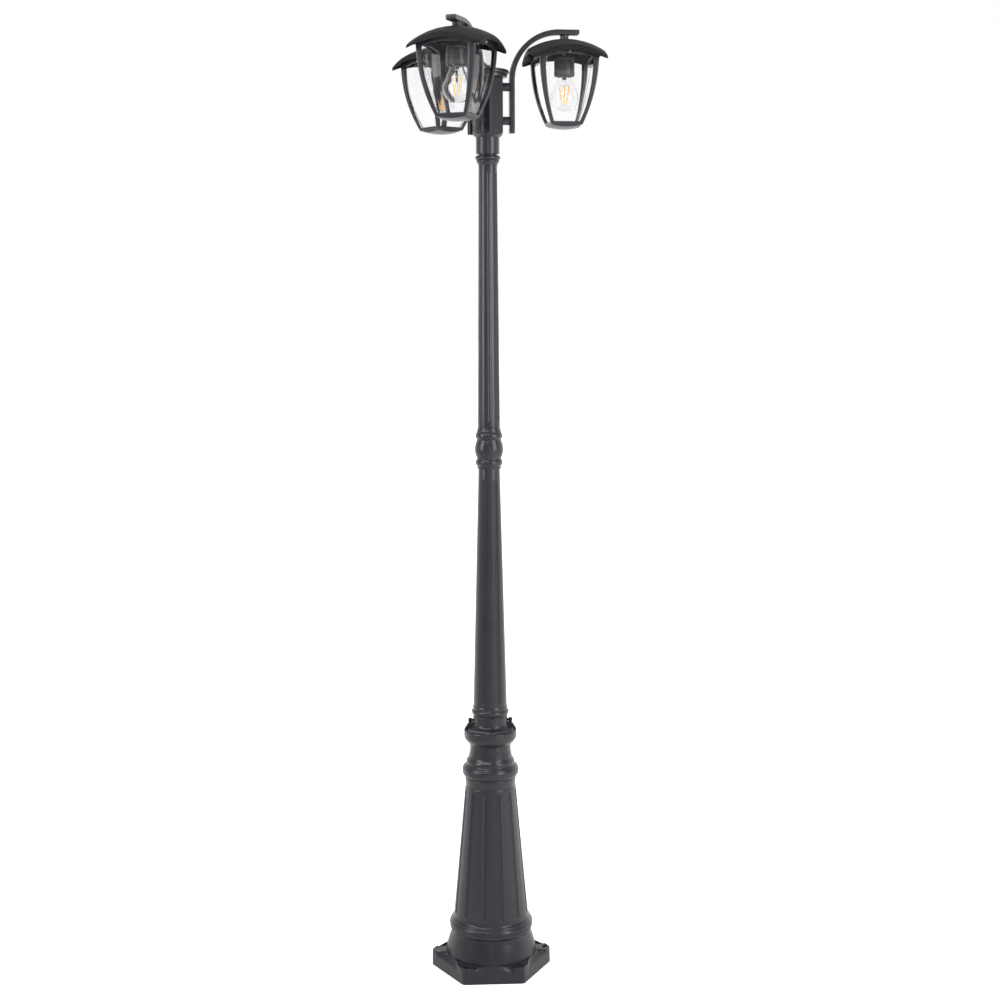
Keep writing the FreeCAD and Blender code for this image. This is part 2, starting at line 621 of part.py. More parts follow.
def build_roof(number, turn):
    """A square cut from a thin dome, with a fascia all round and two slotted tabs inside the cage."""
    centre = "roof_top - roof_dome"
    low, high = "roof_top - 60", "roof_top + 1"
    outer = round_top(common(square_block("roof_side", low, high), ball("roof_dome", centre)), "roof_edge")
    inner = square_block("roof_side - roof_sheet", "roof_top - 70", high, "(roof_corner - roof_sheet)")
    hollow = round_top(common(inner, ball("roof_dome - roof_sheet", centre)), "roof_edge - roof_sheet")
    below = ball("fascia_dome", "fascia_middle - sqrt(fascia_dome^2 - roof_side^2)")
    shell = subtract(outer, [hollow, below, cylinder("nipple_hole", "roof_top - 10", high)])
    under_dome = ball("roof_dome - roof_sheet + 0.6", centre)
    near = f"{half_width('thumb_height', 'cage_sheet')} - 0.9"
    tabs = []
    for side in (0, 180):
        tab = box(("-tab_width / 2", "tab_width / 2"), (f"{near} - tab_sheet", near),
                  ("tab_bottom", "cage_top + 6"))
        slot = box(("-thumb_shank - 0.4", "thumb_shank + 0.4"), (f"{near} - tab_sheet", near),
                   ("tab_bottom - 1", "thumb_height + thumb_shank + 0.4"))
        tabs.append(common(around(group([subtract(tab, [slot])]), side), under_dome))
    roof = fuse([shell] + tabs)
    node(around(roof, SIZES["arm_angle"] + turn, "lantern_reach"), f"roof_{number}")


def half_width(height, inset="0"):
    """How far the bowed wall, set in by some amount, stands from the lantern's axis at a height."""
    return (f"(cage_half - bow_radius + sqrt((bow_radius - ({inset}))^2"
            f" - (({height}) - bow_middle)^2))")


def bowed_slab(inset, bottom, top, turn):
    """The space between two opposite bowed walls, endless along the walls."""
    low, high, bow = half_width(bottom, inset), half_width(top, inset), f"(bow_radius - ({inset}))"
    sketch = draw(free_sketch(upright=True, turn=turn), [
        (f"-{low}", bottom, bow), (low, bottom), (high, top, bow), (f"-{high}", top),
    ])
    return extrude(sketch, "4 * cage_half", both=True)


def bowed_block(inset, bottom, top):
    return common(bowed_slab(inset, bottom, top, 0), bowed_slab(inset, bottom, top, 90))


def window_cutter(turn):
    """One window's outline, cut right through the cage: narrow at the foot and arched at the head."""
    foot = f"({half_width('window_bottom')} - post_foot)"
    head = f"({half_width('window_side')} - post_head)"
    sketch = draw(free_sketch(upright=True, turn=turn), [
        (f"-{foot}", "window_bottom", "bow_radius"), (foot, "window_bottom"),
        (head, "window_side", "bow_radius"), ("0", "window_arch", 155),
        (f"-{head}", "window_side", 155),
    ])
    return extrude(sketch, "4 * cage_half", both=True)


def build_cage(number, turn):
    """Four bowed walls with arched windows, open above and closed below by a domed pan."""
    angle = SIZES["arm_angle"] + turn
    under_roof = ball("roof_dome - roof_sheet - cage_gap", "roof_top - roof_dome")
    walls = common(bowed_block("0", "cage_bottom", "cage_top"), under_roof)
    inside = bowed_block("cage_sheet", "cage_bottom + cage_sheet", "cage_top + 1")
    foot = f"({half_width('cage_bottom')} - 2)"
    pan = common(square_block(foot, "cage_bottom - pan_depth", "cage_bottom + 1", "4"),
                 ball("pan_dome", "cage_bottom - pan_depth + pan_dome"))
    holes = [bar_along_x("thumb_shank", "-cage_half - 5", "cage_half + 5", "thumb_height", 90),
             cylinder("drain_radius", "cage_bottom - pan_depth - 1", "cage_bottom + cage_sheet + 1")]
    frame = subtract(fuse([walls, pan]), [inside, window_cutter(0), window_cutter(90)] + holes)
    node(around(frame, angle, "lantern_reach"), f"cage_{number}")


def build_panes(number, turn):
    """Four clear panes that stand on the pan just inside the walls."""
    panes = []
    bottom, top = "cage_bottom + cage_sheet", "pane_top"
    outer, inner = "(cage_sheet + pane_gap)", "(cage_sheet + pane_gap + pane_sheet)"
    for side in (0, 90, 180, 270):
        section = draw(free_sketch(upright=True, turn=side), [
            (half_width(bottom, inner), bottom, f"({inner} - bow_radius)"),
            (half_width(bottom, outer), bottom),
            (half_width(top, outer), top, f"(bow_radius - {outer})"),
            (half_width(top, inner), top),
        ])
        band = extrude(section, "4 * cage_half", both=True)
        panes.append(common(band, bowed_slab("(cage_sheet + 3 * pane_sheet)", "cage_bottom", "cage_top",
                                             side + 90)))
    whole = group(panes)
    node(around(whole, SIZES["arm_angle"] + turn, "lantern_reach"), f"panes_{number}")


def build_thumb_screws(number, turn):
    wall = half_width("thumb_height")
    screws = []
    for side in (90, 270):
        shank = bar_along_x("thumb_shank - 0.1", f"{wall} - cage_sheet - tab_sheet - 3", f"{wall} + 0.1",
                            "thumb_height", side)
        head = bar_along_x("thumb_radius", f"{wall} + 0.1", f"{wall} + thumb_head", "thumb_height", side)
        screws.append(fuse([shank, head]))
    whole = group(screws)
    node(around(whole, SIZES["arm_angle"] + turn, "lantern_reach"), f"thumb_screws_{number}")


def build_lampholder(number, turn):
    body = new_body(f"lampholder_{number}")
    revolve(body, [
        ("holder_mouth", "holder_bottom"), ("holder_radius", "holder_bottom"),
        ("holder_radius", "holder_top - 3"), ("holder_radius - 3", "holder_top", 3),
        ("nipple_hole", "holder_top"), ("nipple_hole", "holder_floor"),
        ("holder_bore", "holder_floor"), ("holder_bore", "holder_mouth_top"),
        ("holder_mouth", "holder_mouth_top"),
    ])
    around(body, SIZES["arm_angle"] + turn, "lantern_reach")


def build_bulb(number, turn):
    """Screw cap, blown glass, glass stem, and four straight filaments round it."""
    angle = SIZES["arm_angle"] + turn
    glass = new_body(f"bulb_glass_{number}")
    shell = "bulb_shell"
    revolve(glass, [
        (f"cap_radius - {shell}", "cap_bottom"), ("cap_radius", "cap_bottom"),
        ("bulb_neck", "neck_bottom"), ("bulb_flare", "flare_height", 45),
        ("bulb_radius", "bulb_middle", -42),
        (0, "bulb_bottom", "-" + dome_radius("bulb_radius", "(bulb_middle - bulb_bottom)")),
        (0, f"bulb_bottom + {shell}"),
        (f"bulb_radius - {shell}", "bulb_middle",
         dome_radius(f"bulb_radius - {shell}", f"(bulb_middle - bulb_bottom - {shell})")),
        (f"bulb_flare - {shell}", "flare_height", 41.1), (f"bulb_neck - {shell}", "neck_bottom", -45.9),
    ])
    cap = new_body(f"bulb_cap_{number}")
    revolve(cap, [
        (0, "cap_bottom"), ("cap_radius", "cap_bottom"), ("cap_radius", "bulb_cap_top"),
        ("contact_radius", "contact_top - 1"), ("contact_radius", "contact_top"), (0, "contact_top"),
    ])
    stem = new_body(f"bulb_stem_{number}")
    revolve(stem, [
        (0, "stem_glass_bottom"), ("stem_glass_radius", "stem_glass_bottom"),
        ("stem_glass_radius", "neck_bottom - 6"), ("cap_radius - 3", "cap_bottom"), (0, "cap_bottom"),
    ])
    for body in (glass, cap, stem):
        around(body, angle, "lantern_reach")
    sticks = []
    for side in (45, 135, 225, 315):
        stick = cylinder("filament_radius", "filament_bottom", "filament_top", base=("filament_circle", "0"))
        sticks.append(around(group([stick]), side))
    filaments = group(sticks)
    node(around(filaments, angle, "lantern_reach"), f"bulb_filaments_{number}")


def export_nodes():
    """Check every object, then write one file for each piece."""
    doc.recompute()
    failed = [item.Name for item in doc.Objects if {"Invalid", "Error"} & set(item.State)]
    if failed:
        raise RuntimeError(f"not rebuilt: {failed}")
    os.makedirs("parts", exist_ok=True)
    for piece in NODES:
        if piece.Shape.isNull() or not piece.Shape.isValid() or not piece.Shape.Solids:
            raise RuntimeError(f"{piece.Label} has no valid shape")
    for piece in NODES:
        piece.Shape.exportStep(f"parts/{piece.Label}.step")
        box_size = piece.Shape.BoundBox
        print(f"{piece.Label}: {len(piece.Shape.Solids)} solid(s), {piece.Shape.Volume / 1000:.2f} cm3,"
              f" height {box_size.ZMin:.1f} to {box_size.ZMax:.1f}")


build_base()
build_collar()
build_clamp_screws()
build_lower_pole()
build_knuckle()
build_upper_pole()
build_capital()
build_head_column()
build_cap()
build_head_fasteners()
build_standoffs()
build_hangers()
for lantern, third in LANTERNS.items():
    build_arm(lantern, third)
    build_roof(lantern, third)
    build_cage(lantern, third)
    build_panes(lantern, third)
    build_thumb_screws(lantern, third)
    build_lampholder(lantern, third)
    build_bulb(lantern, third)
export_nodes()
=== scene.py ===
from math import asin, atan2, ceil, copysign, cos, degrees, dist, hypot, pi, radians, sin, sqrt, tan

import bmesh
import bpy
from mathutils import Matrix, Vector


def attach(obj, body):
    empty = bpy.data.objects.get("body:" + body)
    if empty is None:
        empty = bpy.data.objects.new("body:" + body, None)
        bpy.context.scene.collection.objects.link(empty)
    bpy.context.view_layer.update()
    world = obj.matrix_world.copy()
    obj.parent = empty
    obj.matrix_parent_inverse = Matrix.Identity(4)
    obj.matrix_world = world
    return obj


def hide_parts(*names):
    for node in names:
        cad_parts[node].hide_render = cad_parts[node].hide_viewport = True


# A street lamp post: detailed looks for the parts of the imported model.
# Lengths in this file are millimetres until a shape becomes an object.

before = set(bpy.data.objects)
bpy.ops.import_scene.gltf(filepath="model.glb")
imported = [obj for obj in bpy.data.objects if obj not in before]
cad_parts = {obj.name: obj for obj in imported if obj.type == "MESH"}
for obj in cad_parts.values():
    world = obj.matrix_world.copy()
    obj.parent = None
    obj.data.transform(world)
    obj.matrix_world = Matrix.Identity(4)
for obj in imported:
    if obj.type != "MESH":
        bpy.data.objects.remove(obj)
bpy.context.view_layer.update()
SCENE = bpy.context.scene

LANTERNS = {1: 5.7, 2: 125.7, 3: 245.7}     # degrees from +X
REACH = 167.2                               # from the pole's axis to a lantern's
WALL, WALL_TOP, BOW = 63.5, 2034, 370       # a lantern's wall: how far out, how high, and its curve's radius
ROOF_TOP, DOME = 2070.2, 160.0
BORE = 0.001                                # the least radius of a turned point
WELD = 0.00002                              # points closer than this, in metres, become one
SAME_POINT = 1e-6
CLEAR_CORNER = radians(16)                  # a smaller turn isn't rounded off
MOST_CUT = 0.45                             # how much of a run one rounding may take
ARC_STEP, ROUNDING_STEP = radians(9), radians(20)
SIXTH, HALF_SIXTH = pi / 3, pi / 6          # a side of a hexagon, and half of one


# ---- outlines

def bulge(start, end, radius):
    """Points along an arc from start to end; a positive radius bulges to the right of the way."""
    (x0, z0), (x1, z1) = start, end
    chord = hypot(x1 - x0, z1 - z0)
    reach = max(abs(radius), chord / 2 * 1.0001)  # a little over the least that spans the chord
    drop = copysign(sqrt(reach ** 2 - chord ** 2 / 4), radius)
    cx = (x0 + x1) / 2 - (z1 - z0) / chord * drop
    cz = (z0 + z1) / 2 + (x1 - x0) / chord * drop
    first = atan2(z0 - cz, x0 - cx)
    sweep = (atan2(z1 - cz, x1 - cx) - first + pi) % (2 * pi) - pi
    count = max(3, ceil(abs(sweep) / ARC_STEP))
    return [(cx + reach * cos(first + sweep * step / count),
             cz + reach * sin(first + sweep * step / count)) for step in range(1, count + 1)]


def soften(points, radius):
    """The same line with each clear corner rounded off."""
    made = [points[0]]
    for before, point, after in zip(points, points[1:], points[2:]):
        here = Vector(point)
        back, on = Vector(before) - here, Vector(after) - here
        if min(back.length, on.length) < SAME_POINT:
            continue
        turn = pi - back.angle(on)
        if turn < CLEAR_CORNER:
            made.append(point)
            continue
        cut = min(radius * tan(turn / 2), MOST_CUT * back.length, MOST_CUT * on.length)
        first, second = here + back.normalized() * cut, here + on.normalized() * cut
        count = max(2, ceil(turn / ROUNDING_STEP))
        for step in range(count + 1):
            part = step / count
            made.append(tuple(first.lerp(here, part).lerp(here.lerp(second, part), part)))
    return made + [points[-1]]


def profile(corners, radius):
    """An outline through (across, height) corners. A third item is the radius of the arc that ends there."""
    points = []
    for index, corner in enumerate(corners):
        if len(corner) > 2:
            points += bulge(corners[index - 1][:2], corner[:2], corner[2])
        else:
            points.append(tuple(corner))
    return soften(points, radius)


def split(points, longest):
    """The same line with its long runs divided."""
    made = [points[0]]
    for start, end in zip(points, points[1:]):
        count = max(1, ceil(dist(start, end) / longest))
        made += [tuple(a + (b - a) * step / count for a, b in zip(start, end))
                 for step in range(1, count + 1)]
    return made


def smooth(value, low, high):
    """0 below low, 1 above high and an S-curve between."""
    part = min(1.0, max(0.0, (value - low) / (high - low)))
    return part * part * (3 - 2 * part)


def polar(radius, angle, height):
    return radius * cos(angle), radius * sin(angle), height


# ---- shapes

class Shape:
    """Points and faces in millimetres, gathered before they become one object."""

    def __init__(self):
        self.points, self.faces = [], []

    def rings(self, rings, loop=False, caps=(False, False)):
        """Join rings of the same number of points; loop joins the last ring to the first."""
        start, count = len(self.points), len(rings[0])
        for ring in rings:
            self.points += [tuple(point) for point in ring]
        rows = len(rings) if loop else len(rings) - 1
        for row in range(rows):
            low, high = start + row * count, start + (row + 1) % len(rings) * count
            for column in range(count):
                following = (column + 1) % count
                self.faces.append((low + column, low + following, high + following, high + column))
        if caps[0]:
            self.faces.append(tuple(reversed(range(start, start + count))))
        if caps[1]:
            last = start + (len(rings) - 1) * count
            self.faces.append(tuple(range(last, last + count)))
        return self

    def lathe(self, line, count=96, closed=False):
        """Turn an outline of (radius, height) around the axis."""
        angles = [2 * pi * step / count for step in range(count)]
        return self.rings([[polar(max(radius, BORE), angle, height) for angle in angles]
                           for radius, height in line], loop=closed)

    def add(self, other, matrix=Matrix()):
        start = len(self.points)
        self.points += [tuple(matrix @ Vector(point)) for point in other.points]
        self.faces += [tuple(start + index for index in face) for face in other.faces]
        return self

    def moved(self, matrix):
        return Shape().add(self, matrix)


def about(turn, reach=0.0, height=0.0):
    """Out along +X and up, then around +Z by some degrees."""
    return Matrix.Rotation(radians(turn), 4, "Z") @ Matrix.Translation((reach, 0, height))


def level(turn, height):
    """Lying down along +X at some height, then around +Z by some degrees."""
    return about(turn, 0, height) @ Matrix.Rotation(radians(90), 4, "Y")


def turned(corners, radius, count=96):
    """A softened profile turned around the axis."""
    return Shape().lathe(profile(corners, radius), count)


def angles_near(first, offsets):
    """Angles in radians gathered around the corners of a hexagon, the first one given in degrees."""
    spots = {round((first + 60 * step + sign * offset) % 360, 3)
             for step in range(6) for offset in offsets for sign in (-1, 1)}
    return [radians(spot) for spot in sorted(spots)]


def from_corner(angle):
    """The signed way from the nearest corner of a hexagon that has a corner at +X."""
    return (angle + HALF_SIXTH) % SIXTH - HALF_SIXTH


def in_metres(name, shape):
    mesh = bpy.data.meshes.new(name)
    mesh.from_pydata([(x / 1000, y / 1000, z / 1000) for x, y, z in shape.points], [], shape.faces)
    return mesh


def placed(name, data):
    """A new object in the scene."""
    thing = bpy.data.objects.new(name, data)
    SCENE.collection.objects.link(thing)
    return thing


def applied(piece):
    """Make the piece's modifiers part of its mesh."""
    graph = bpy.context.evaluated_depsgraph_get()
    mesh = bpy.data.meshes.new_from_object(piece.evaluated_get(graph))
    piece.modifiers.clear()
    piece.data = mesh
    return mesh


def build(name, shape, body, material, slot, node, sharp=34, bevel=0.0, bevel_angle=0):
    """Make the object, in metres, hang it on the body it rides on and hide the CAD part it replaces."""
    mesh = in_metres(name, shape)
    work = bmesh.new()
    work.from_mesh(mesh)
    bmesh.ops.remove_doubles(work, verts=work.verts, dist=WELD)
    bmesh.ops.recalc_face_normals(work, faces=work.faces)
    work.to_mesh(mesh)
    work.free()
    piece = placed(name, mesh)
    if bevel:
        edge = piece.modifiers.new("Bevel", "BEVEL")
        edge.width, edge.segments = bevel / 1000, 2
        edge.limit_method, edge.angle_limit = "ANGLE", radians(bevel_angle)
        edge.use_clamp_overlap = True
    done = applied(piece)
    bpy.data.meshes.remove(mesh)
    done.name = name
    done.materials.clear()
    done.materials.append(material)
    done.shade_smooth()
    done.set_sharp_from_angle(angle=radians(sharp))
    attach(piece, body)
    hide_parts(node)
    return piece


def cast(name, shape, body, node, **finish):
    """A piece with the anthracite coat."""
    return build(name, shape, body, CAST, "cast_coat", node, **finish)


# ---- materials

WHITE = (1, 1, 1, 1)


class Graph:
    """The nodes of a material or of the world, and the values that run between them."""

    def __init__(self, owner, coordinates="Object"):
        owner.use_nodes = True
        self.owner, self.nodes, self.links = owner, owner.node_tree.nodes, owner.node_tree.links
        self.shader = self.nodes.get("Principled BSDF")  # a world has none
        self.where = self.nodes.new("ShaderNodeTexCoord").outputs[coordinates]

    def feed(self, node, **values):
        """Set or link sockets of a node. The spaces in their names are written as underscores."""
        for name, value in values.items():
            self.join(value, node.inputs[name.replace("_", " ")])
        return node

    def join(self, value, socket):
        if isinstance(value, bpy.types.NodeSocket):
            self.links.new(value, socket)
        else:
            socket.default_value = value

    def node(self, kind, **values):
        return self.feed(self.nodes.new("ShaderNode" + kind), **values)

    def noise(self, scale, detail, stretch=None):
        """Procedural noise with `scale` features to the metre."""
        where = self.where
        if stretch:
            where = self.node("Mapping", Scale=stretch, Vector=where).outputs["Vector"]
        return self.node("TexNoise", Scale=scale, Detail=detail, Vector=where).outputs["Fac"]

    def vary(self, value, low, high, *sockets, places=(0.3, 0.7)):
        """Run some of the shader's sockets from low to high, colours or numbers, along a value."""
        ramp = self.node("ValToRGB", Fac=value)
        for element, place, colour in zip(ramp.color_ramp.elements, places, (low, high)):
            if isinstance(colour, float):
                colour = (colour, colour, colour)
            element.position, element.color = place, (*colour, 1)
        for socket in sockets:
            self.links.new(ramp.outputs["Color"], self.shader.inputs[socket])

    def bump(self, *layers):
        """Chain of bumps, each (height, distance in metres, strength)."""
        normal = None
        for height, distance, strength in layers:
            node = self.node("Bump", Distance=distance, Strength=strength, Height=height)
            if normal:
                self.feed(node, Normal=normal)
            normal = node.outputs["Normal"]
        self.feed(self.shader, Normal=normal)

    def settle(self, **values):
        """Set the shader's other sockets and hand over the material."""
        self.feed(self.shader, **values)
        return self.owner

    def fitted(self, value, low, high, first, last, kind="LINEAR"):
        """Carry a value from one range to another, held at the ends."""
        node = self.node("MapRange", Value=value, From_Min=low, From_Max=high, To_Min=first, To_Max=last)
        node.interpolation_type = kind
        return node.outputs["Result"]

    def maths(self, operation, *values):
        node = self.node("Math")
        node.operation = operation
        for socket, value in zip(node.inputs, values):
            self.join(value, socket)
        return node.outputs["Value"]

    def axes(self):
        return self.node("SeparateXYZ", Vector=self.where).outputs

    def seen_or_lit(self, seen, lit):
        """One strength for what is looked at, also through glass, another for the light it gives the lamp."""
        path = self.node("LightPath").outputs
        direct = self.maths("MAXIMUM", path["Is Camera Ray"], path["Is Transmission Ray"])
        return self.maths("ADD", self.maths("MULTIPLY", seen, direct),
                          self.maths("MULTIPLY", lit, self.maths("SUBTRACT", 1.0, direct)))


def material_graph(name):
    return Graph(bpy.data.materials.new(name))


def powder_coat(name, dark, light, rough_low, rough_high, grain, gloss):
    """Baked powder coat: slight clouding over a fine orange-peel surface."""
    graph = material_graph(name)
    graph.vary(graph.noise(14, 4), dark, light, "Base Color")
    graph.vary(graph.noise(45, 3), rough_low, rough_high, "Roughness")
    graph.bump((graph.noise(130, 2), 0.0002, 0.12), (graph.noise(900, 2), grain, 0.5))
    return graph.settle(Specular_IOR_Level=gloss)


def metal(name, dark, light, rough_low, rough_high, scale=400):
    graph = material_graph(name)
    grain = graph.noise(scale, 3)
    graph.vary(grain, dark, light, "Base Color")
    graph.vary(grain, rough_low, rough_high, "Roughness")
    graph.bump((grain, 0.00003, 0.5))
    return graph.settle(Metallic=1.0)


def plastic(name, dark, light, rough_low, rough_high):
    graph = material_graph(name)
    cloud = graph.noise(60, 3)
    graph.vary(cloud, dark, light, "Base Color")
    graph.vary(cloud, rough_low, rough_high, "Roughness")
    graph.bump((graph.noise(700, 2), 0.00005, 0.3))
    return graph.settle()


def glass(name, tint, rough, ior, ripple, stretch):
    """Clear sheet with the soft ripples of moulding or blowing."""
    graph = material_graph(name)
    wave = graph.noise(30, 2, stretch)
    graph.vary(wave, tint, (1, 1, 1), "Base Color", places=(0.2, 0.8))
    graph.bump((wave, ripple, 1.0))
    return graph.settle(Roughness=rough, IOR=ior, Transmission_Weight=1.0)


def glowing(name, dark, light):
    """Phosphor coat over the filament's diodes: grainy, and bright enough to look lit."""
    graph = material_graph(name)
    grains = graph.noise(1500, 3)
    graph.vary(grains, dark, light, "Base Color", "Emission Color")
    graph.bump((grains, 0.00005, 0.4))
    return graph.settle(Emission_Strength=0.35, Roughness=0.6)


CAST = powder_coat("cast_coat", (0.0115, 0.0107, 0.0145), (0.016, 0.0149, 0.0198), 0.31, 0.37, 0.00006, 0.36)
# The roofs get the cast coat made darker and duller: the darker colour is painted shade, standing in for the
# shade that falls on their tops.
SHADE_DARKENED_ROOF = powder_coat("roof_coat", (0.0055, 0.0055, 0.006), (0.0085, 0.0085, 0.009), 0.5, 0.6, 0.0001, 0.1)
BLACK_STEEL = metal("black_steel", (0.02, 0.02, 0.02), (0.05, 0.05, 0.05), 0.35, 0.5)
BRIGHT_STEEL = metal("bright_steel", (0.2, 0.196, 0.19), (0.3, 0.295, 0.285), 0.2, 0.32)
ZINC = metal("zinc_steel", (0.10, 0.098, 0.09), (0.16, 0.155, 0.14), 0.3, 0.45, scale=160)
NICKEL = metal("nickel_brass", (0.68, 0.66, 0.6), (0.8, 0.78, 0.72), 0.14, 0.26)
WIRE = metal("support_wire", (0.3, 0.27, 0.25), (0.45, 0.42, 0.4), 0.3, 0.4)
BLACK_PLASTIC = plastic("black_plastic", (0.005, 0.005, 0.0055), (0.009, 0.009, 0.0095), 0.36, 0.46)
CREAM_PLASTIC = plastic("cream_plastic", (0.6, 0.57, 0.5), (0.68, 0.65, 0.58), 0.35, 0.5)
PANE = glass("clear_pane", (0.95, 0.955, 0.965), 0.01, 1.28, 0.0003, (1.2, 1.2, 0.05))
BULB = glass("blown_glass", (0.97, 0.97, 0.98), 0.0, 1.3, 0.00005, (1, 1, 0.6))
GLOW = glowing("phosphor", (0.88, 0.39, 0.06), (0.96, 0.53, 0.13))


def studio_floor():
    """Matt white paper that looks plain white away from the lamp and lights it from the right and behind."""
    graph = material_graph("studio_floor")
    fibres = graph.noise(300, 4)
    graph.vary(fibres, (0.86, 0.86, 0.86), (0.9, 0.9, 0.9), "Base Color")
    graph.bump((fibres, 0.0001, 0.2))
    away = graph.node("VectorMath", Vector=graph.where)
    away.operation = "LENGTH"
    # The glow that the camera sees is painted light: full white far off, weaker near the lamp so that the
    # floor there shows its own shading.
    fade = graph.fitted(away.outputs["Value"], 0.12, 0.9, 0.42, 1.0, "SMOOTHSTEP")
    axes = graph.axes()
    lit = graph.maths("MAXIMUM", graph.fitted(axes["X"], 0.1, 1.3, 0.0, 1.0),
                      graph.fitted(axes["Y"], 0.1, 0.9, 0.0, 1.0))
    return graph.settle(Emission_Color=WHITE, Emission_Strength=graph.seen_or_lit(fade, lit), Roughness=0.9)


# ---- base and pole

def fluted(line, count, turn, width, depth, low, high, across=3, between=4):
    """A lathe with straight round-ended grooves: line is (radius, height), low and high the groove's ends."""
    half, rings, least_gap = width / 2, [], 0.2
    line = split(line, 14)
    near_ends = [half * step / 6 for step in range(-1, 9)]
    for height in [low + step for step in near_ends] + [high - step for step in near_ends]:
        for index, ((r0, z0), (r1, z1)) in enumerate(zip(line, line[1:])):
            if z0 + least_gap < height < z1 - least_gap:
                line.insert(index + 1, (r0 + (r1 - r0) * (height - z0) / (z1 - z0), height))
                break
    sector = 2 * pi / count
    for radius, height in line:
        past = max(low + half - height, height - (high - half), 0)  # into a groove's round end
        ring, edge = [], half / radius
        for number in range(count):
            middle = radians(turn) + sector * number
            offsets = [edge * step / across for step in range(-across, across + 1)]
            offsets += [edge + (sector - 2 * edge) * step / between for step in range(1, between)]
            for offset in offsets:
                away = hypot(offset * radius, past) / half
                ring.append(polar(radius - depth * max(0.0, 1 - away * away), middle + offset, height))
        rings.append(ring)
    return Shape().rings(rings)


def plinth_edge(angle):
    """Distance from the axis to the plinth's outline: a hexagon with rounded corners, flat towards -Y."""
    flat, centre, corner = 118.645, 125.45, 10.0  # the last two place the corner's arc
    away = from_corner(angle)
    side = HALF_SIXTH - abs(away)  # from the middle of the side
    if side < radians(27.87):
        return flat / cos(side)
    return centre * cos(away) + sqrt(max(0, corner ** 2 - (centre * sin(away)) ** 2))


def plinth_top(angle):
    """Ridge radius and height, outer edge height, dish depth and corner share of the plinth's top."""
    side = HALF_SIXTH - abs(from_corner(angle))
    edge = plinth_edge(angle)
    block = smooth(degrees(side), 20.4, 22.6)  # 1 on the corner blocks
    ridge, arch = 104.0, 46.0  # arch: half the width of a facet
    for _ in range(12):
        ridge = (104.4 + 12.6 * min(1.0, ridge * sin(side) / arch) ** 1.9) / cos(side)
    ends = min(1.0, ridge * sin(side) / arch)
    ridge = min(ridge, edge - 1.6) * (1 - block) + (edge - 2.6) * block
    ridge_height = (35.6 - 4.6 * ends ** 2.2) * (1 - block) + 36.2 * block
    edge_height = 26.6 * (1 - block) + 33.6 * block
    return ridge, ridge_height, edge_height, 1.9 * smooth(ends, 0.12, 0.8) * (1 - 0.4 * block), block


def plinth():
    """The hexagonal foot, a closed ring: side walls, arched facets, corner pads and the recess below."""
    angles = angles_near(0, (0, 0.8, 1.6, 2.4, 3.2, 4, 5, 6, 7, 8, 9, 10, 11, 12, 13.5, 15.5, 18, 21, 24, 27,
                             30))
    outline = [(angle, plinth_top(angle), plinth_edge(angle)) for angle in angles]
    rings = []

    def ring(place):
        made = []
        for angle, top, edge in outline:
            radius, height = place(top, edge)
            made.append(polar(radius, angle, height))
        rings.append(made)

    for radius, height in ((99.9, 26), (99.9, 0.8), (99, 0)):
        ring(lambda top, edge: (radius, height))
    for inset, height in ((0.9, 0), (0.25, 0.3), (0, 1.1), (0.35, 12)):
        ring(lambda top, edge: (edge - inset, height))
    ring(lambda top, edge: (edge - 0.8, top[2] - 1.6))
    for step in range(7):
        part = step / 6

        def facet(top, edge):
            ridge, ridge_height, edge_height, _, block = top
            outer = edge - 0.9
            if step == 0:
                return outer - 0.35 * (1 - block), edge_height - 0.1
            straight = ridge_height - (ridge_height - edge_height) * (1 - part)
            round_off = edge_height + (ridge_height - edge_height) * sqrt(max(0, 1 - (1 - part) ** 2))
            height = straight * (1 - block) + round_off * block
            lip = 0.9 * (1 - block) * (1 - part)
            return outer + (ridge - outer) * part - lip, height
        ring(facet)
    for inset, lift in ((0.3, 1.5), (1.1, 2.0), (1.9, 0.9)):
        ring(lambda top, edge: (top[0] - inset, top[1] + lift * (1 - 0.7 * top[4])))
    for step in range(1, 9):
        part = step / 8

        def pad(top, edge):
            ridge, ridge_height, _, dish, _ = top
            start = ridge - 2.0
            radius = start + (100.5 - start) * part
            sink = min(1.0, sin(pi * min(1.0, part * 0.9)) * 1.5)
            return radius, (ridge_height - 0.6) + (36.8 - ridge_height + 0.6) * part - dish * sink
        ring(pad)
    return Shape().rings(rings, loop=True)


def drilled(piece, holes, radius, low, high):
    """Cut upright round holes through a closed piece."""
    cutter = Shape()
    for x, y in holes:
        plug = Shape().lathe([(BORE, low), (radius, low), (radius, high), (BORE, high)], 40)
        cutter.add(plug, Matrix.Translation((x, y, 0)))
    tool = placed("cutter", in_metres("cutter", cutter))
    cut = piece.modifiers.new("Holes", "BOOLEAN")
    cut.operation, cut.object, cut.solver = "DIFFERENCE", tool, "EXACT"
    applied(piece)
    bpy.data.objects.remove(tool)


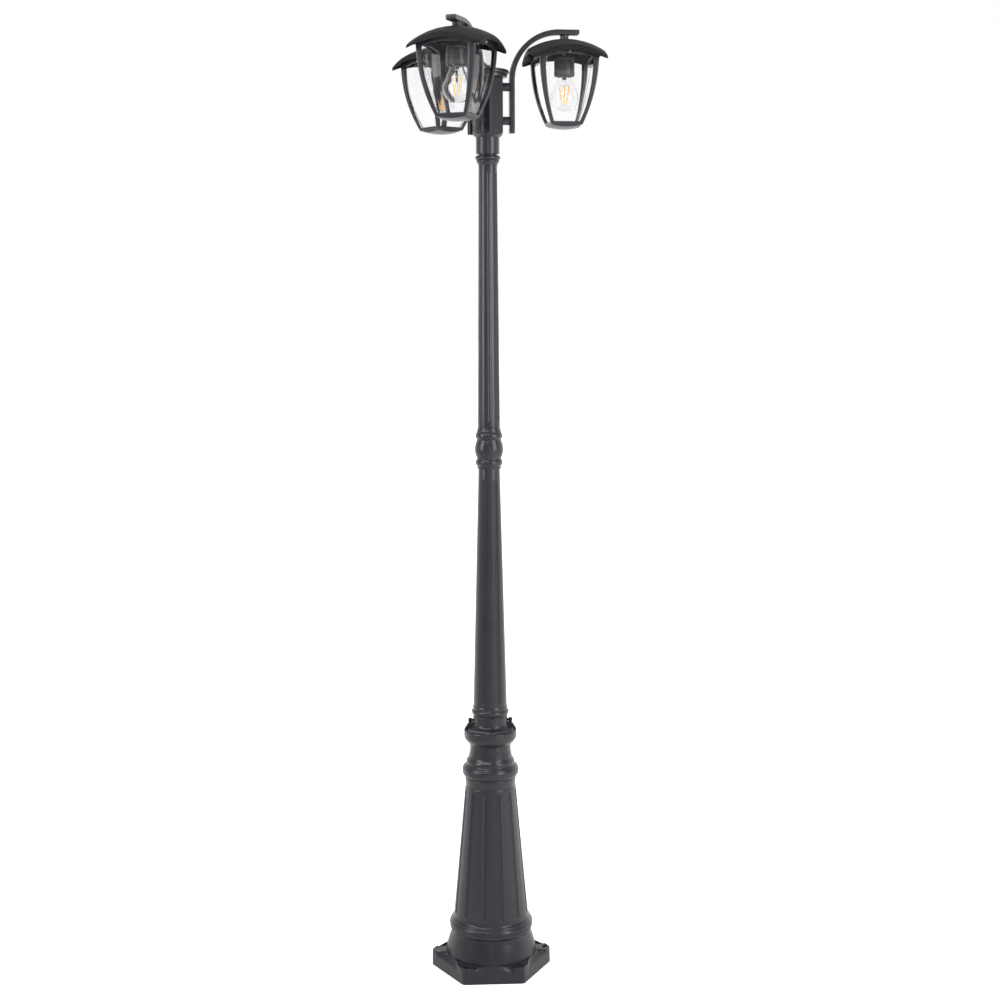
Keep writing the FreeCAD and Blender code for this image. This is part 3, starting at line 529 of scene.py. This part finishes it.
def build_base():
    foot = cast("base_plinth", plinth(), "post", "base_casting", sharp=28)
    drilled(foot, [polar(123, radians(turn), 0)[:2] for turn in (0, 120, 240)], 6.0, -5, 50)
    outside = profile([
        (102.6, 33), (103.5, 33.6), (103.2, 36.8), (90.4, 81.4, 270), (89.7, 86.0), (90.2, 87.8),
        (93.0, 90.8, 7), (94.3, 97.2, 18), (93.4, 97.9), (93.7, 99.0), (94.8, 101.6, 5), (93.6, 107.4, 8),
        (90.9, 110.6, 6), (90.2, 111.6), (89.7, 114, 3), (88.2, 115.8, 3), (87.4, 116.4), (84.7, 121, -9),
        (57.4, 424), (56.8, 431, -9), (56.9, 441.4), (57.6, 442.2), (57.6, 444.6), (56.9, 447.4, -4),
        (60.6, 450.2), (63.5, 461, 12), (61.8, 469.4, 12), (60.6, 470.2), (60.2, 471.2), (56.4, 474.6, 7),
        (54.9, 476.6), (54.5, 481.5, -9), (51.2, 488.5, 12), (49.6, 491.5), (48.6, 496, -6),
        (45.8, 518, -75), (30.2, 518),
    ], 0.7)
    inside = [(30.2, 440), (50.3, 420), (78, 113), (83.3, 75), (99, 27)]
    cone = fluted(outside + inside, 12, 15, 9.5, 2.9, 128.0, 418.7)
    cast("base_column", cone, "post", "base_casting", sharp=30)


def collar_shape():
    """Convex belly, a low hexagonal tier on its rim, a waisted neck, and the screw lugs."""
    tier = 58.9 * cos(HALF_SIXTH)
    angles = angles_near(30, (0, 0.6, 1.4, 2.6, 4.5, 7, 10, 14, 18, 22, 26, 30))

    def hexagon(angle, inset=0.0):
        side = HALF_SIXTH - abs(angle % SIXTH - HALF_SIXTH)
        return (tier - inset) / cos(side)

    rings = []

    def ring(height, radius):
        rings.append([polar(radius(angle), angle, height) for angle in angles])

    belly = profile([(30.2, 518), (46.5, 518), (46.9, 519.6), (46.4, 521), (48.6, 524.2, 9),
                     (57.6, 534.6, 30), (59.4, 541, 12), (59.4, 552.6), (58.6, 554.6)], 0.6)
    for radius, height in belly:
        ring(height, lambda angle: radius)
    for inset, height in ((0.5, 555.1), (1.2, 555.3)):
        ring(height, lambda angle: max(hexagon(angle, -0.2) if hexagon(angle) < 58.4 else 0, 58.6 - inset))
    for inset, height in ((-0.5, 555.2), (0.1, 555.6), (0.4, 556.6), (0.7, 558.8), (1.2, 560), (2.2, 560.8),
                          (3.4, 561.1)):
        ring(height, lambda angle: min(hexagon(angle, inset), 57.4 - inset * 0.6))
    for part, height in ((0.25, 561.5), (0.5, 562.4), (0.72, 563.8), (0.88, 565.8), (0.97, 568.0)):
        ring(height, lambda angle: (1 - part) * min(hexagon(angle, 3.4), 55.3) + part * 38.6)
    for radius, height in profile([(38.6, 570), (38.6, 586.2), (38.2, 587), (30.2, 587), (30.2, 518)], 0.5):
        ring(height, lambda angle: radius)
    line = profile([(37.5, 553), (58.4, 553), (58.0, 557), (52.2, 566.5, -40), (49.4, 569.2),
                    (47.2, 571.2, 4), (37.5, 571.8)], 0.8)
    lug = Shape().rings([[(x, y, z) for x, z in line] for y in (-5.2, 5.2)], caps=(True, True))
    return Shape().rings(rings).add(lug).add(lug, about(180))


def build_collar():
    cast("collar_casting", collar_shape(), "post", "collar", sharp=32, bevel=0.7, bevel_angle=50)
    screw = turned([(0, 30), (2.9, 30), (2.9, 41.6), (4.9, 41.8), (5.0, 46.5), (4.2, 49.2, 4), (2.3, 49.9, 8),
                    (2.3, 47.4), (0, 47.4)], 0.4, 32)
    heads = Shape().add(screw, level(0, 576)).add(screw, level(180, 576))
    build("clamp_screw_pair", heads, "post", BLACK_STEEL, "black_screw", "clamp_screws")


def build_poles():
    line = profile([
        (30, 470), (30, 587.4), (38.4, 587.4), (38.7, 588.2), (38.7, 590), (41.8, 595.5, 6.5),
        (39.4, 601.8, 6.5), (38.7, 602.6), (38.9, 606, -8), (38.2, 609.4, 5), (37.7, 610.6), (37.6, 613),
        (23.6, 1146), (18, 1146), (18, 1111), (32.4, 609), (24.8, 579), (24.8, 470),
    ], 0.5)
    pole = fluted(line, 6, 0, 9.0, 2.4, 616.5, 1124, across=4, between=8)
    cast("lower_pole_tube", pole, "post", "lower_pole", sharp=30)
    knuckle = turned([
        (11, 1111), (18, 1111), (18, 1146), (25.2, 1146), (26.1, 1148, 3), (26.1, 1151.6), (26.6, 1153.6),
        (29.5, 1160.4, 6.5), (27.8, 1166.6, 6), (26.8, 1168, -3), (26.8, 1170.2), (31.38, 1190, 46),
        (26.8, 1209.8, 46), (26.8, 1212), (27.8, 1214, -3), (29.4, 1221, 7), (27.2, 1226.6, 7),
        (26.4, 1227.4), (26.5, 1230.6, 3), (25.4, 1234), (24.6, 1237), (14.5, 1237), (14.5, 1272),
        (11, 1272),
    ], 0.5)
    cast("pole_knuckle", knuckle, "post", "knuckle")
    line = profile([
        (14.5, 1272), (14.5, 1237), (24.4, 1237), (20, 1801), (14.5, 1801), (14.5, 1766), (19.2, 1297),
        (14.5, 1272),
    ], 0.4)
    pole = fluted(line, 6, 30, 8.0, 2.2, 1250.5, 1789, across=4, between=6)
    cast("upper_pole_tube", pole, "post", "upper_pole", sharp=30)
    capital = turned([
        (8, 1766), (14.5, 1766), (14.5, 1801), (20.2, 1801), (20.4, 1803.5), (22.8, 1809, -10),
        (24.4, 1810.4), (24.6, 1813.4, 2.5), (23.9, 1814.8), (27.4, 1819.4, 5.5), (25.6, 1823, 4),
        (24.4, 1824), (20, 1824), (20, 1866), (8, 1866),
    ], 0.4)
    cast("capital_casting", capital, "post", "pole_capital")


# ---- head and arms

def build_column():
    """Hexagonal column over a round sleeve, its foot bevelled so that each flat ends in a scallop."""
    flat, low, first = 30.8, 1866.5, 30 + LANTERNS[1]
    point = flat / cos(HALF_SIXTH)
    angles = angles_near(first, (0, 0.7, 1.5, 2.4, 5, 9, 14, 19, 24, 30))

    def hexagon(angle):
        """Distance to the outline, each corner cut short by about half a millimetre and softened."""
        away = (degrees(angle) - first + 30) % 60 - 30
        blunt = point - 0.5 + 0.12 * cos(radians(away * 20))
        return min(flat / cos(radians(30 - abs(away))), blunt)

    def scallop(angle):
        return low + (hexagon(angle) - flat) * 1.4

    rings = []

    def ring(place):
        rings.append([polar(radius, angle, height) for angle in angles for radius, height in [place(angle)]])

    sleeve = profile([(25, 1988), (25, 1872), (8, 1872), (8, 1866), (20.05, 1866), (20.05, 1827.5),
                      (25.4, 1827.5), (25.4, 1861.4), (25.8, 1862.6)], 0.5)
    for radius, height in sleeve:
        ring(lambda angle: (radius, height))
    for step in range(5):
        ring(lambda angle: (25.8 + (hexagon(angle) - 26.2) * step / 4,
                            1862.6 + (scallop(angle) - 1863.2) * step / 4))
    ring(lambda angle: (hexagon(angle), scallop(angle) + 0.3))
    for inset, height in ((0, 1878), (0, 1987.3), (0.6, 1988)):
        ring(lambda angle: (hexagon(angle) - inset, height))
    cast("head_column_casting", Shape().rings(rings, loop=True), "head", "head_column", sharp=24)


def build_cap():
    cap = turned([
        (0, 1980), (24.8, 1980), (24.8, 1988), (42.2, 1988), (42.3, 1993.4), (41.6, 1994.4), (41.9, 1995.3),
        (45.2, 1995.6), (46.2, 1997.6, 2.5), (46.0, 2000, 9), (43.6, 2003.2, 4.5), (40.4, 2004.2, 9),
        (22, 2006.0, 190), (0.3, 2006.5, 190),
    ], 0.6, 112)
    cast("head_cap_casting", cap, "head", "head_cap")
    rings = []
    for radius, height, cross in ((1.6, 1980, 0), (1.6, 2004.4, 0), (3.4, 2004.4, 0), (3.6, 2005.2, 0),
                                  (3.5, 2006.4, 0), (2.9, 2007.1, 0), (2.2, 2007.4, 0), (1.9, 2007.4, 0.6),
                                  (1.0, 2007.5, 1.3), (0.01, 2007.5, 1.7)):
        rings.append([polar(radius, angle, height - cross * max(0.0, cos(4 * angle)) ** 0.5)
                      for angle in [radians(10 * step) for step in range(36)]])
    screw, heads = Shape().rings(rings, caps=(True, False)), Shape()
    for turn in (0, 120, 240):
        heads.add(screw, about(turn, 20))
    build("cap_screw_heads", heads, "head", BLACK_STEEL, "black_screw", "cap_screws")
    grub = turned([(0.01, 20.3), (2.4, 20.3), (2.4, 25.0), (1.9, 25.4), (1.2, 25.4)], 0.2, 24)
    grub.add(Shape().lathe([(1.2, 25.4), (1.2, 23.4), (0.01, 23.2)], 6))
    grubs = Shape().add(grub, level(LANTERNS[1], 1845.5)).add(grub, level(LANTERNS[1] + 180, 1845.5))
    build("grub_screw_pair", grubs, "head", BLACK_STEEL, "black_screw", "head_grub_screws")


def arm_shape():
    """A bent flat tube: up beside the column, a quarter bend, and out to a chamfered end."""
    inner, outer, top, bend, depth, half_width = 47.2, 198.3, 2090.0, 108.0, 10.8, 11
    centre = (inner + bend, top - bend)
    stations = []  # back point, belly point, half width
    for height, inset in ((1871.5, 0.9), (1871.8, 0.35), (1872.5, 0), (1890, 0), (1930, 0), (1960, 0)):
        stations.append(((inner + inset, height), (inner + depth - inset, height), half_width - inset))
    for step in range(41):
        angle = pi - pi / 2 * step / 40
        stations.append(tuple((centre[0] + radius * cos(angle), centre[1] + radius * sin(angle))
                              for radius in (bend, bend - depth)) + (half_width,))
    for across, rise, inset in ((170, 0, 0), (186, 0, 0), (outer - 2.4, 0, 0), (outer - 1.9, 0.3, 0),
                                (outer - 0.6, 1.3, 0), (outer - 0.2, 1.7, 0.35), (outer, 2.1, 0.9)):
        stations.append(((across, top - inset), (across, top - depth + rise + inset), half_width - inset))
    rings = []
    for back, belly, half in stations:
        back, belly = Vector(back), Vector(belly)
        thick = (belly - back).length
        along = (belly - back).normalized()
        corner, ring = 1.5, []
        for sign, deep, first in ((1, thick - corner, 0), (1, corner, 90), (-1, corner, 180),
                                  (-1, thick - corner, 270)):
            for step in range(4):
                angle = radians(first + 30 * step)
                point = back + along * (deep + corner * cos(angle))
                ring.append((point.x, sign * (half - corner) + corner * sin(angle), point.y))
        rings.append(ring)
    return Shape().rings(rings, caps=(True, True))


def build_arms():
    arm, posts = arm_shape(), Shape()
    post = turned([(4, 30.8), (8.9, 30.8), (9.1, 31.2), (9.1, 46.8), (8.9, 47.2), (4, 47.2), (4, 30.8)],
                  0.2, 48)
    stem = turned([(5, 2079.2), (9.6, 2079.2), (9.6, 2077.8), (9.1, 2076.4, -3), (9.1, 2073.0),
                   (9.5, 2071.4, -4), (9.5, 2070.1), (5, 2070.1), (5, 2079.2)], 0.3, 56)
    for number, turn in LANTERNS.items():
        cast(f"arm_{number}_bar", arm.moved(about(turn)), "head", f"arm_{number}", sharp=30)
        cast(f"stem_{number}_casting", stem.moved(about(turn, REACH)), "head", f"stem_{number}")
        posts.add(post, level(turn, 1897.8)).add(post, level(turn, 1968.7))
    cast("standoff_tubes", posts, "head", "arm_standoffs")


# ---- lanterns

def square_ring(half, corner, place, side_steps=14, corner_steps=6):
    """Points round a square with rounded corners: place(x, y, outward) gives the finished point."""
    side, reach, eighth = [], half - corner, pi / 4

    def bend(share, middle):
        angle = eighth * share
        side.append((reach + corner * cos(angle), middle + corner * sin(angle), angle))

    for step in range(corner_steps):
        bend(step / corner_steps - 1, -reach)
    for step in range(side_steps):
        side.append((half, -reach + 2 * reach * step / side_steps, 0.0))
    for step in range(corner_steps):
        bend(step / corner_steps, reach)
    made = []
    for spin in (0, pi / 2, pi, pi * 3 / 2):
        cosine, sine = cos(spin), sin(spin)
        made += [place(x * cosine - y * sine, x * sine + y * cosine, polar(1, angle + spin, 0)[:2])
                 for x, y, angle in side]
    return made


def roof_shape():
    """Square shell of a dome with rolled edges, an arched fascia and a hole for the hanger."""
    half, corner, sheet, roll = 81.0, 12.0, 2.5, 6.0
    rings = []

    def round_corner(size):
        return size * (1 - (1 - corner / half) * smooth(size, 8, 60))

    def over(radius, drop=0.0):
        return ROOF_TOP - DOME + sqrt((DOME - drop) ** 2 - radius ** 2)

    def rolled(x, y, out, share, inset, bend):
        """A point on the rounding between dome and side: share 0 is the dome's end, 1 the side's."""
        x, y = x - out[0] * inset, y - out[1] * inset
        lean = asin((x * out[0] + y * out[1]) / DOME * 0.97)  # a little flatter than the dome
        start = 1 - sin(lean)
        sx, sy = x - out[0] * bend * start, y - out[1] * bend * start
        middle = over(hypot(sx, sy), inset) - bend * cos(lean)
        angle = lean + (pi / 2 - lean) * share
        away = bend * (1 - sin(angle))
        return x - out[0] * away, y - out[1] * away, middle + bend * cos(angle)

    def under(x, y, lift):
        return 2037.0 - sqrt(200 ** 2 - half ** 2) + sqrt(200 ** 2 - x * x - y * y) + lift

    def ring(size, rounding, place):
        rings.append(square_ring(size, rounding, place))

    for size in (5, 7, 10, 15, 22, 30, 39, 48, 56, 63, 69, 73.5):
        ring(size, round_corner(size), lambda x, y, out: (x, y, over(hypot(x, y))))
    for step in range(8):
        ring(half, corner, lambda x, y, out: rolled(x, y, out, step / 7, 0, roll))
    for inset, lift in ((0, 1.0), (0.25, 0.25), (0.8, 0), (sheet - 0.6, 0), (sheet - 0.15, 0.3),
                        (sheet, 0.9)):
        ring(half - inset, corner - inset, lambda x, y, out: (x, y, under(x, y, lift)))
    for step in range(5):
        ring(half, corner, lambda x, y, out: rolled(x, y, out, 1 - step / 4, sheet, roll - sheet))
    for size in (70, 62, 52, 40, 28, 16, 9, 5):
        ring(size, round_corner(size), lambda x, y, out: (x, y, over(hypot(x, y), sheet)))
    tab = slotted_tab()
    return Shape().rings(rings, loop=True).add(tab, about(180)).add(tab)


def slotted_tab():
    """Flat tab on the roof's underside with a slot that the thumb screw's shank slides into."""
    near, sheet = 59.55, 2.0
    outline = [(-7, 2034.5), (-2.3, 2034.5), (-2.3, 2038.6), (-1.6, 2039.5), (0, 2039.9), (1.6, 2039.5),
               (2.3, 2038.6), (2.3, 2034.5), (7, 2034.5), (7, 2053), (-7, 2053)]
    return Shape().rings([[(x, y, z) for x, z in outline] for y in (near - sheet, near)], caps=(True, True))


def bow(height, inset=0.0):
    """How far the bowed wall stands from the lantern's axis."""
    return WALL - BOW + sqrt((BOW - inset) ** 2 - (height - WALL_TOP) ** 2)


def wall_top(across, out):
    """How high the wall reaches, just under the roof."""
    return ROOF_TOP - DOME + sqrt((DOME - 3.5) ** 2 - across ** 2 - out ** 2)


def cage_shape():
    """Four bowed walls with arched windows, notched under the roof on two sides."""
    foot, sill, head = 1889, 1895.5, 2026.5             # heights of the wall's foot and of its window
    rows, columns, thick = 28, 23, 3.0
    low, high, left, right = 2, 24, 3, 19               # the grid lines round the window
    half_head, half_sill = bow(head) - 12.8, bow(sill) - 7.5
    posts = (0.0, 0.3, 0.7, 1.0)
    shape = Shape()

    def arch(across):
        radius, rise = 155, 6.5
        fall = radius - sqrt(radius ** 2 - half_head ** 2)
        sag = rise - (radius - sqrt(radius ** 2 - across ** 2))
        return head + rise * (sag - rise + fall) / fall

    def spot(row, column, inset):
        """A grid point of one wall, as (out, across, height)."""
        over = row >= high
        share = 2 * ((column - left) / (right - left)) - 1 if left <= column <= right else None
        if over:
            base, half = head if share is None else arch(half_head * share), half_head
        else:
            base = sill + (head - sill) * (row - low) / (high - low)
            if row <= low:
                base = (foot, 1891.5, sill)[row]
            part = (max(base, sill) - sill) / (head - sill)
            swell = bow(max(base, sill)) - (bow(sill) + (bow(head) - bow(sill)) * part)
            half = half_sill + (half_head - half_sill) * part + swell
        wide = bow(base, inset)
        if share is not None:
            across = half * share
        elif column < left:
            across = -wide + (wide - half) * posts[column]
        else:
            across = half + (wide - half) * (1 - posts[columns - 1 - column])
        if not over:
            return wide, across, base
        height = base + (wall_top(across, wide) - base) * ((row - high) / (rows - 1 - high))
        out = bow(height, inset)
        return out, copysign(out, across) if column in (0, columns - 1) else across, height

    for quarter in range(4):
        spin = about(90 * quarter)
        start = len(shape.points)
        for inset in (0.0, thick):
            for row in range(rows):
                shape.points += [tuple(spin @ Vector(spot(row, column, inset))) for column in range(columns)]

        def number(layer, row, column):
            return start + (layer * rows + row) * columns + column

        def kept(row, column):
            if not (0 <= row < rows - 1 and 0 <= column < columns - 1):
                return False
            window = low <= row < high and left <= column < right
            notch = quarter % 2 and row > high and 9 <= column < 13
            return not (window or notch)

        for row in range(rows - 1):
            for column in range(columns - 1):
                if not kept(row, column):
                    continue
                corners = ((row, column), (row, column + 1), (row + 1, column + 1), (row + 1, column))
                shape.faces.append(tuple(number(0, *corner) for corner in corners))
                shape.faces.append(tuple(number(1, *corner) for corner in reversed(corners)))
                beyond = ((row - 1, column), (row, column + 1), (row + 1, column), (row, column - 1))
                for first, second, near in zip(corners, corners[1:] + corners[:1], beyond):
                    if 0 <= near[1] < columns - 1 and not kept(*near):
                        shape.faces.append((number(0, *second), number(0, *first),
                                            number(1, *first), number(1, *second)))
    return shape


def pan_shape():
    """Shallow domed pan with a rim and a drain hole."""
    rings = []

    def dome(x, y, lift):
        return 2014.2 - sqrt(133 ** 2 - x * x - y * y) + lift

    def ring(size, corner, place):
        rings.append(square_ring(size, corner, place, 6, 4))

    def rounding(size):
        return size * (1 - 0.8 * smooth(size, 2, 26))

    for size in (2.0, 2.6, 4, 8, 13, 19, 25, 29.5):
        ring(size, rounding(size), lambda x, y, out: (x, y, dome(x, y, 0.4 if size == 2.0 else 0)))
    ring(31.4, 4.4, lambda x, y, out: (x, y, dome(x, y, 0.1)))
    ring(31.9, 4.4, lambda x, y, out: (x, y, min(dome(x, y, 0.8), 1888.8)))
    for size, height in ((31.9, 1889.0), (32.6, 1889.2), (33.2, 1892.0)):
        ring(size, 4.4, lambda x, y, out: (x, y, height))
    for size in (20, 8, 2.0):
        ring(size, rounding(size), lambda x, y, out: (x, y, 1892.0))
    return Shape().rings(rings, loop=True)


def pane_shape():
    """Four bent clear panes; each one's upright edges curl inward a little."""
    shape, rings = Shape(), []
    for height in [1892 + 142 * step / 28 for step in range(29)]:
        faces = []
        for inset in (3.2, 5.2):
            out = bow(height, inset)
            half = bow(height, 3.0) - 3.2
            spots = []
            for step in range(25):
                part = -1 + 2 * step / 24
                across = part * half
                curl = 3.4 * smooth(abs(part) * half, half - 9, half + 1) ** 1.2
                ripple = 0.22 * sin(across * 0.16 + height * 0.02) if abs(part) < 1 else 0
                spots.append((out - curl - (0.25 + ripple), across, height))
            faces.append(spots)
        rings.append(faces[0] + faces[1][::-1])
    for quarter in range(4):
        shape.add(Shape().rings(rings, caps=(True, True)), about(90 * quarter))
    return shape


def thumb_shape():
    """Knurled screw head with a driver slot, pointing along +Z from the wall."""
    rings, low, face = [], WALL + 0.15, WALL + 3.5
    for radius, height, knurl, slot in ((1.8, 55.5, 0, 0), (1.8, low, 0, 0), (3.3, low, 0, 0),
                                        (3.6, WALL + 0.5, 0.3, 0), (3.6, WALL + 2.6, 0.3, 0),
                                        (3.4, WALL + 3.0, 0, 0), (3.0, WALL + 3.4, 0, 0), (2.2, face, 0, 0.9),
                                        (0.9, face, 0, 0.9), (0.01, face, 0, 0.9)):
        ring = []
        for step in range(48):
            x, y, z = polar(radius - knurl * (step % 2), radians(7.5 * step), height)
            ring.append((x, y, z - (slot if abs(y) < 0.55 else 0)))
        rings.append(ring)
    return Shape().rings(rings, caps=(True, False))


def holder_shape():
    """Lampholder: shoulder, a narrow line round its neck and a rolled mouth."""
    return turned([
        (5, 2034.5), (17.5, 2034.5), (20.8, 2033.2, 3), (21.6, 2030.6, 3), (21.6, 2027.8), (21.0, 2027.2),
        (21.0, 2026.4), (21.8, 2025.8), (22, 1996.2), (22, 1994.0), (21.6, 1992.9), (20.6, 1992.5),
        (19.2, 1992.5), (18.4, 1993.1), (18, 1994.4), (18, 2001), (14, 2001), (14, 2027), (5, 2027),
        (5, 2034.5),
    ], 0.4)


def bulb_glass_shape():
    """Pear of thin blown glass, open at its neck."""
    return Shape().lathe(bulb_line(0.0) + bulb_line(0.6)[::-1], 80, closed=True)


def bulb_line(inset):
    """The bulb's outline from neck to foot, drawn in by the glass's thickness."""
    centre, radius, neck, neck_height, start, steps = 1947.2, 30.0, 14.8, 1989.2, radians(38), 14
    points = [(13.2, 1996.2), (13.8, 1993.0), (neck, neck_height)]
    for step in range(1, steps):
        part = step / steps
        share = 0.45 * part + 0.55 * smooth(part, 0.0, 1.0)
        points.append((neck + (radius * cos(start) - neck) * share,
                       neck_height + (centre + radius * sin(start) - neck_height) * part))
    for step in range(25):
        angle = radians(38 - 128 * step / 24)
        points.append((max(0.02, radius * cos(angle)), centre + radius * sin(angle)))
    made = []
    for index, (across, height) in enumerate(points):
        before, after = points[max(0, index - 1)], points[min(len(points) - 1, index + 1)]
        way = Vector((after[0] - before[0], after[1] - before[1])).normalized()
        made.append((max(0.02, across + way.y * inset), height - way.x * inset))
    return made


def bulb_cap_shape():
    """Screw shell with a rounded thread, insulator and contact."""
    low, long, pitch = 1997, 17, 3.6
    line = [(0.02, 1996), (12.6, 1996), (13.0, 1996.8)]
    for step in range(49):
        height = low + long * step / 48
        line.append((12.75 + 0.45 * cos(2 * pi * (height - low) / pitch), height))
    line += profile([(12.6, 2014.6), (12.2, 2017), (6.4, 2021.4, 12), (4.6, 2022), (4.4, 2022.9),
                     (0.02, 2023)], 0.4)
    return Shape().lathe(line, 64)


def stem_glass_shape():
    return turned([(0.02, 1958), (1.9, 1958.4, 2), (2.0, 1964), (3.0, 1970, -20), (3.2, 1980),
                   (9.2, 1993, -14), (9.2, 1996), (0.02, 1996)], 0.6, 40)


def rod(points, radius, sides=8):
    """A thin round rod through points in space."""
    rings, points = [], [Vector(point) for point in points]
    for index, point in enumerate(points):
        way = (points[min(index + 1, len(points) - 1)] - points[max(index - 1, 0)]).normalized()
        side = way.cross(Vector((0.3, 0.5, 0.81))).normalized()
        up = way.cross(side)
        rings.append([tuple(point + (side * cos(angle) + up * sin(angle)) * radius)
                      for angle in [2 * pi * step / sides for step in range(sides)]])
    return Shape().rings(rings, caps=(True, True))


def filament_shapes(turn):
    """Four glowing sticks that lean together downward, and the wires that carry them."""
    sticks, wires = Shape(), Shape()
    head, foot, tip = Vector((10.2, 0, 1972)), Vector((5.2, 0, 1934)), Vector((0, 0, 1.2))
    for side in (0, 90, 180, 270):
        place = about(side + turn)
        sticks.add(rod([head.lerp(foot, part) for part in (0, 0.02, 0.5, 0.98, 1)], 1.25, 16), place)
        upper = [(1.2, 0, 1970), (4, 0, 1974.4), (8, 0, 1974.6), (10.3, 0, 1973.6), head - tip]
        lower = [foot + tip, (5.0, 0, 1932.4), (2.4, 0, 1931.8), (0.6, 0, 1933.4)]
        wires.add(rod(upper, 0.32), place).add(rod(lower, 0.3), place)
    wires.add(rod([(0, 0, 1933), (0, 0, 1945), (0, 0, 1960)], 0.4))
    return sticks, wires


def build_lanterns():
    roof, cage, pan, panes = roof_shape(), cage_shape(), pan_shape(), pane_shape()
    holder, glass_line, cap, stem = holder_shape(), bulb_glass_shape(), bulb_cap_shape(), stem_glass_shape()
    thumb, screws = thumb_shape(), Shape()
    for side in (90, 270):
        screws.add(thumb, level(side, 2037.5) @ about(35))
    filament_turns = {1: 81.5, 2: 60, 3: 66.5}
    for number, turn in LANTERNS.items():
        place = about(turn, REACH)
        cage_body, bulb_body = f"cage_body_{number}", f"bulb_body_{number}"
        sticks, wires = filament_shapes(filament_turns[number])
        build(f"roof_{number}_shell", roof.moved(place), "head", SHADE_DARKENED_ROOF, "roof_coat", f"roof_{number}", 40)
        cast(f"cage_{number}_frame", cage.moved(place), cage_body, f"cage_{number}",
             sharp=30, bevel=0.8, bevel_angle=40)
        cast(f"cage_{number}_pan", pan.moved(place), cage_body, f"cage_{number}", sharp=36)
        for name, shape, body, material, slot, node, sharp in (
                ("panes_{}_glass", panes, cage_body, PANE, "clear_pane", "panes", 40),
                ("thumb_screws_{}_pair", screws, cage_body, BRIGHT_STEEL, "bright_screw", "thumb_screws", 30),
                ("lampholder_{}_shell", holder, "head", BLACK_PLASTIC, "holder_plastic", "lampholder", 34),
                ("bulb_{}_envelope", glass_line, bulb_body, BULB, "bulb_glass", "bulb_glass", 60),
                ("bulb_{}_screw_cap", cap, bulb_body, NICKEL, "cap_metal", "bulb_cap", 34),
                ("bulb_{}_stem_glass", stem, bulb_body, BULB, "bulb_glass", "bulb_stem", 34),
                ("bulb_{}_filaments", sticks, bulb_body, GLOW, "filament", "bulb_filaments", 34),
                ("bulb_{}_wires", wires, bulb_body, WIRE, "filament", "bulb_filaments", 34)):
            build(name.format(number), shape.moved(place), body, material, slot, f"{node}_{number}", sharp)


def finish_hidden():
    """The nuts, nipples and terminal block keep their CAD shape and get their finish."""
    for name, material in (("hanger_nipples", ZINC), ("hanger_locknuts", ZINC),
                           ("terminal_block", CREAM_PLASTIC)):
        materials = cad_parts[name].data.materials
        for index in range(len(materials)):
            materials[index] = material


# ---- studio

def build_studio():
    floor = Shape().lathe([(radius, -0.5) for radius in (0, 600, 1500, 4000, 12000, 40000)])
    ground = placed("studio_floor", in_metres("studio_floor", floor))
    ground.data.materials.append(studio_floor())

    camera = placed("camera", bpy.data.cameras.new("camera"))
    camera.data.lens, camera.data.sensor_width = 57.26, 36.0
    camera.data.clip_end = 200
    camera.matrix_world = (Matrix.Translation((-0.150, -3.4905, 1.5483))
                           @ Matrix.Rotation(radians(-2.85), 4, "Z")
                           @ Matrix.Rotation(radians(82.30), 4, "X")
                           @ Matrix.Rotation(radians(-0.20), 4, "Z"))
    SCENE.camera = camera

    world = bpy.data.worlds.new("studio")
    SCENE.world = world
    graph = Graph(world, "Generated")
    back, axes = graph.nodes["Background"], graph.axes()

    # dim in front, brighter to the sides and behind, a little stronger on the right; fading overhead
    around = graph.fitted(axes["Y"], -0.55, 0.6, 0.24, 1.8)
    right = graph.fitted(axes["X"], -1.0, 1.0, 0.75, 1.35)
    overhead = graph.fitted(axes["Z"], 0.1, 0.6, 1.0, 0.35)
    lit = graph.maths("MULTIPLY", graph.maths("MULTIPLY", around, right), overhead)
    graph.feed(back, Color=WHITE, Strength=graph.seen_or_lit(1.0, lit))

    for name, place, target, size, power in (
            ("key_right", (2.0, -2.05, 2.3), (0, 0, 2.3), (0.7, 2.8), 88),
            ("strip_left", (-2.35, -1.1, 2.4), (0, 0, 2.4), (0.4, 2.8), 68),
            ("front", (-0.2, -4.7, 1.9), (0, 0, 1.5), (0.5, 1.4), 16),
            ("over_front", (-0.9, -1.8, 3.3), (0, 0, 0.1), (1.6, 0.6), 46),
            ("top", (0.0, 0.6, 5.0), (0, 0, 1.0), (3.0, 3.0), 30)):  # metres and watts
        data = bpy.data.lights.new(name, "AREA")
        data.shape, data.size, data.size_y, data.energy = "RECTANGLE", size[0], size[1], power
        light = placed(name, data)
        light.location = place
        light.rotation_euler = (Vector(target) - Vector(place)).to_track_quat("-Z", "Y").to_euler()
    SCENE.view_settings.view_transform = "Standard"


build_base()
build_collar()
build_poles()
build_column()
build_cap()
build_arms()
build_lanterns()
finish_hidden()
build_studio()
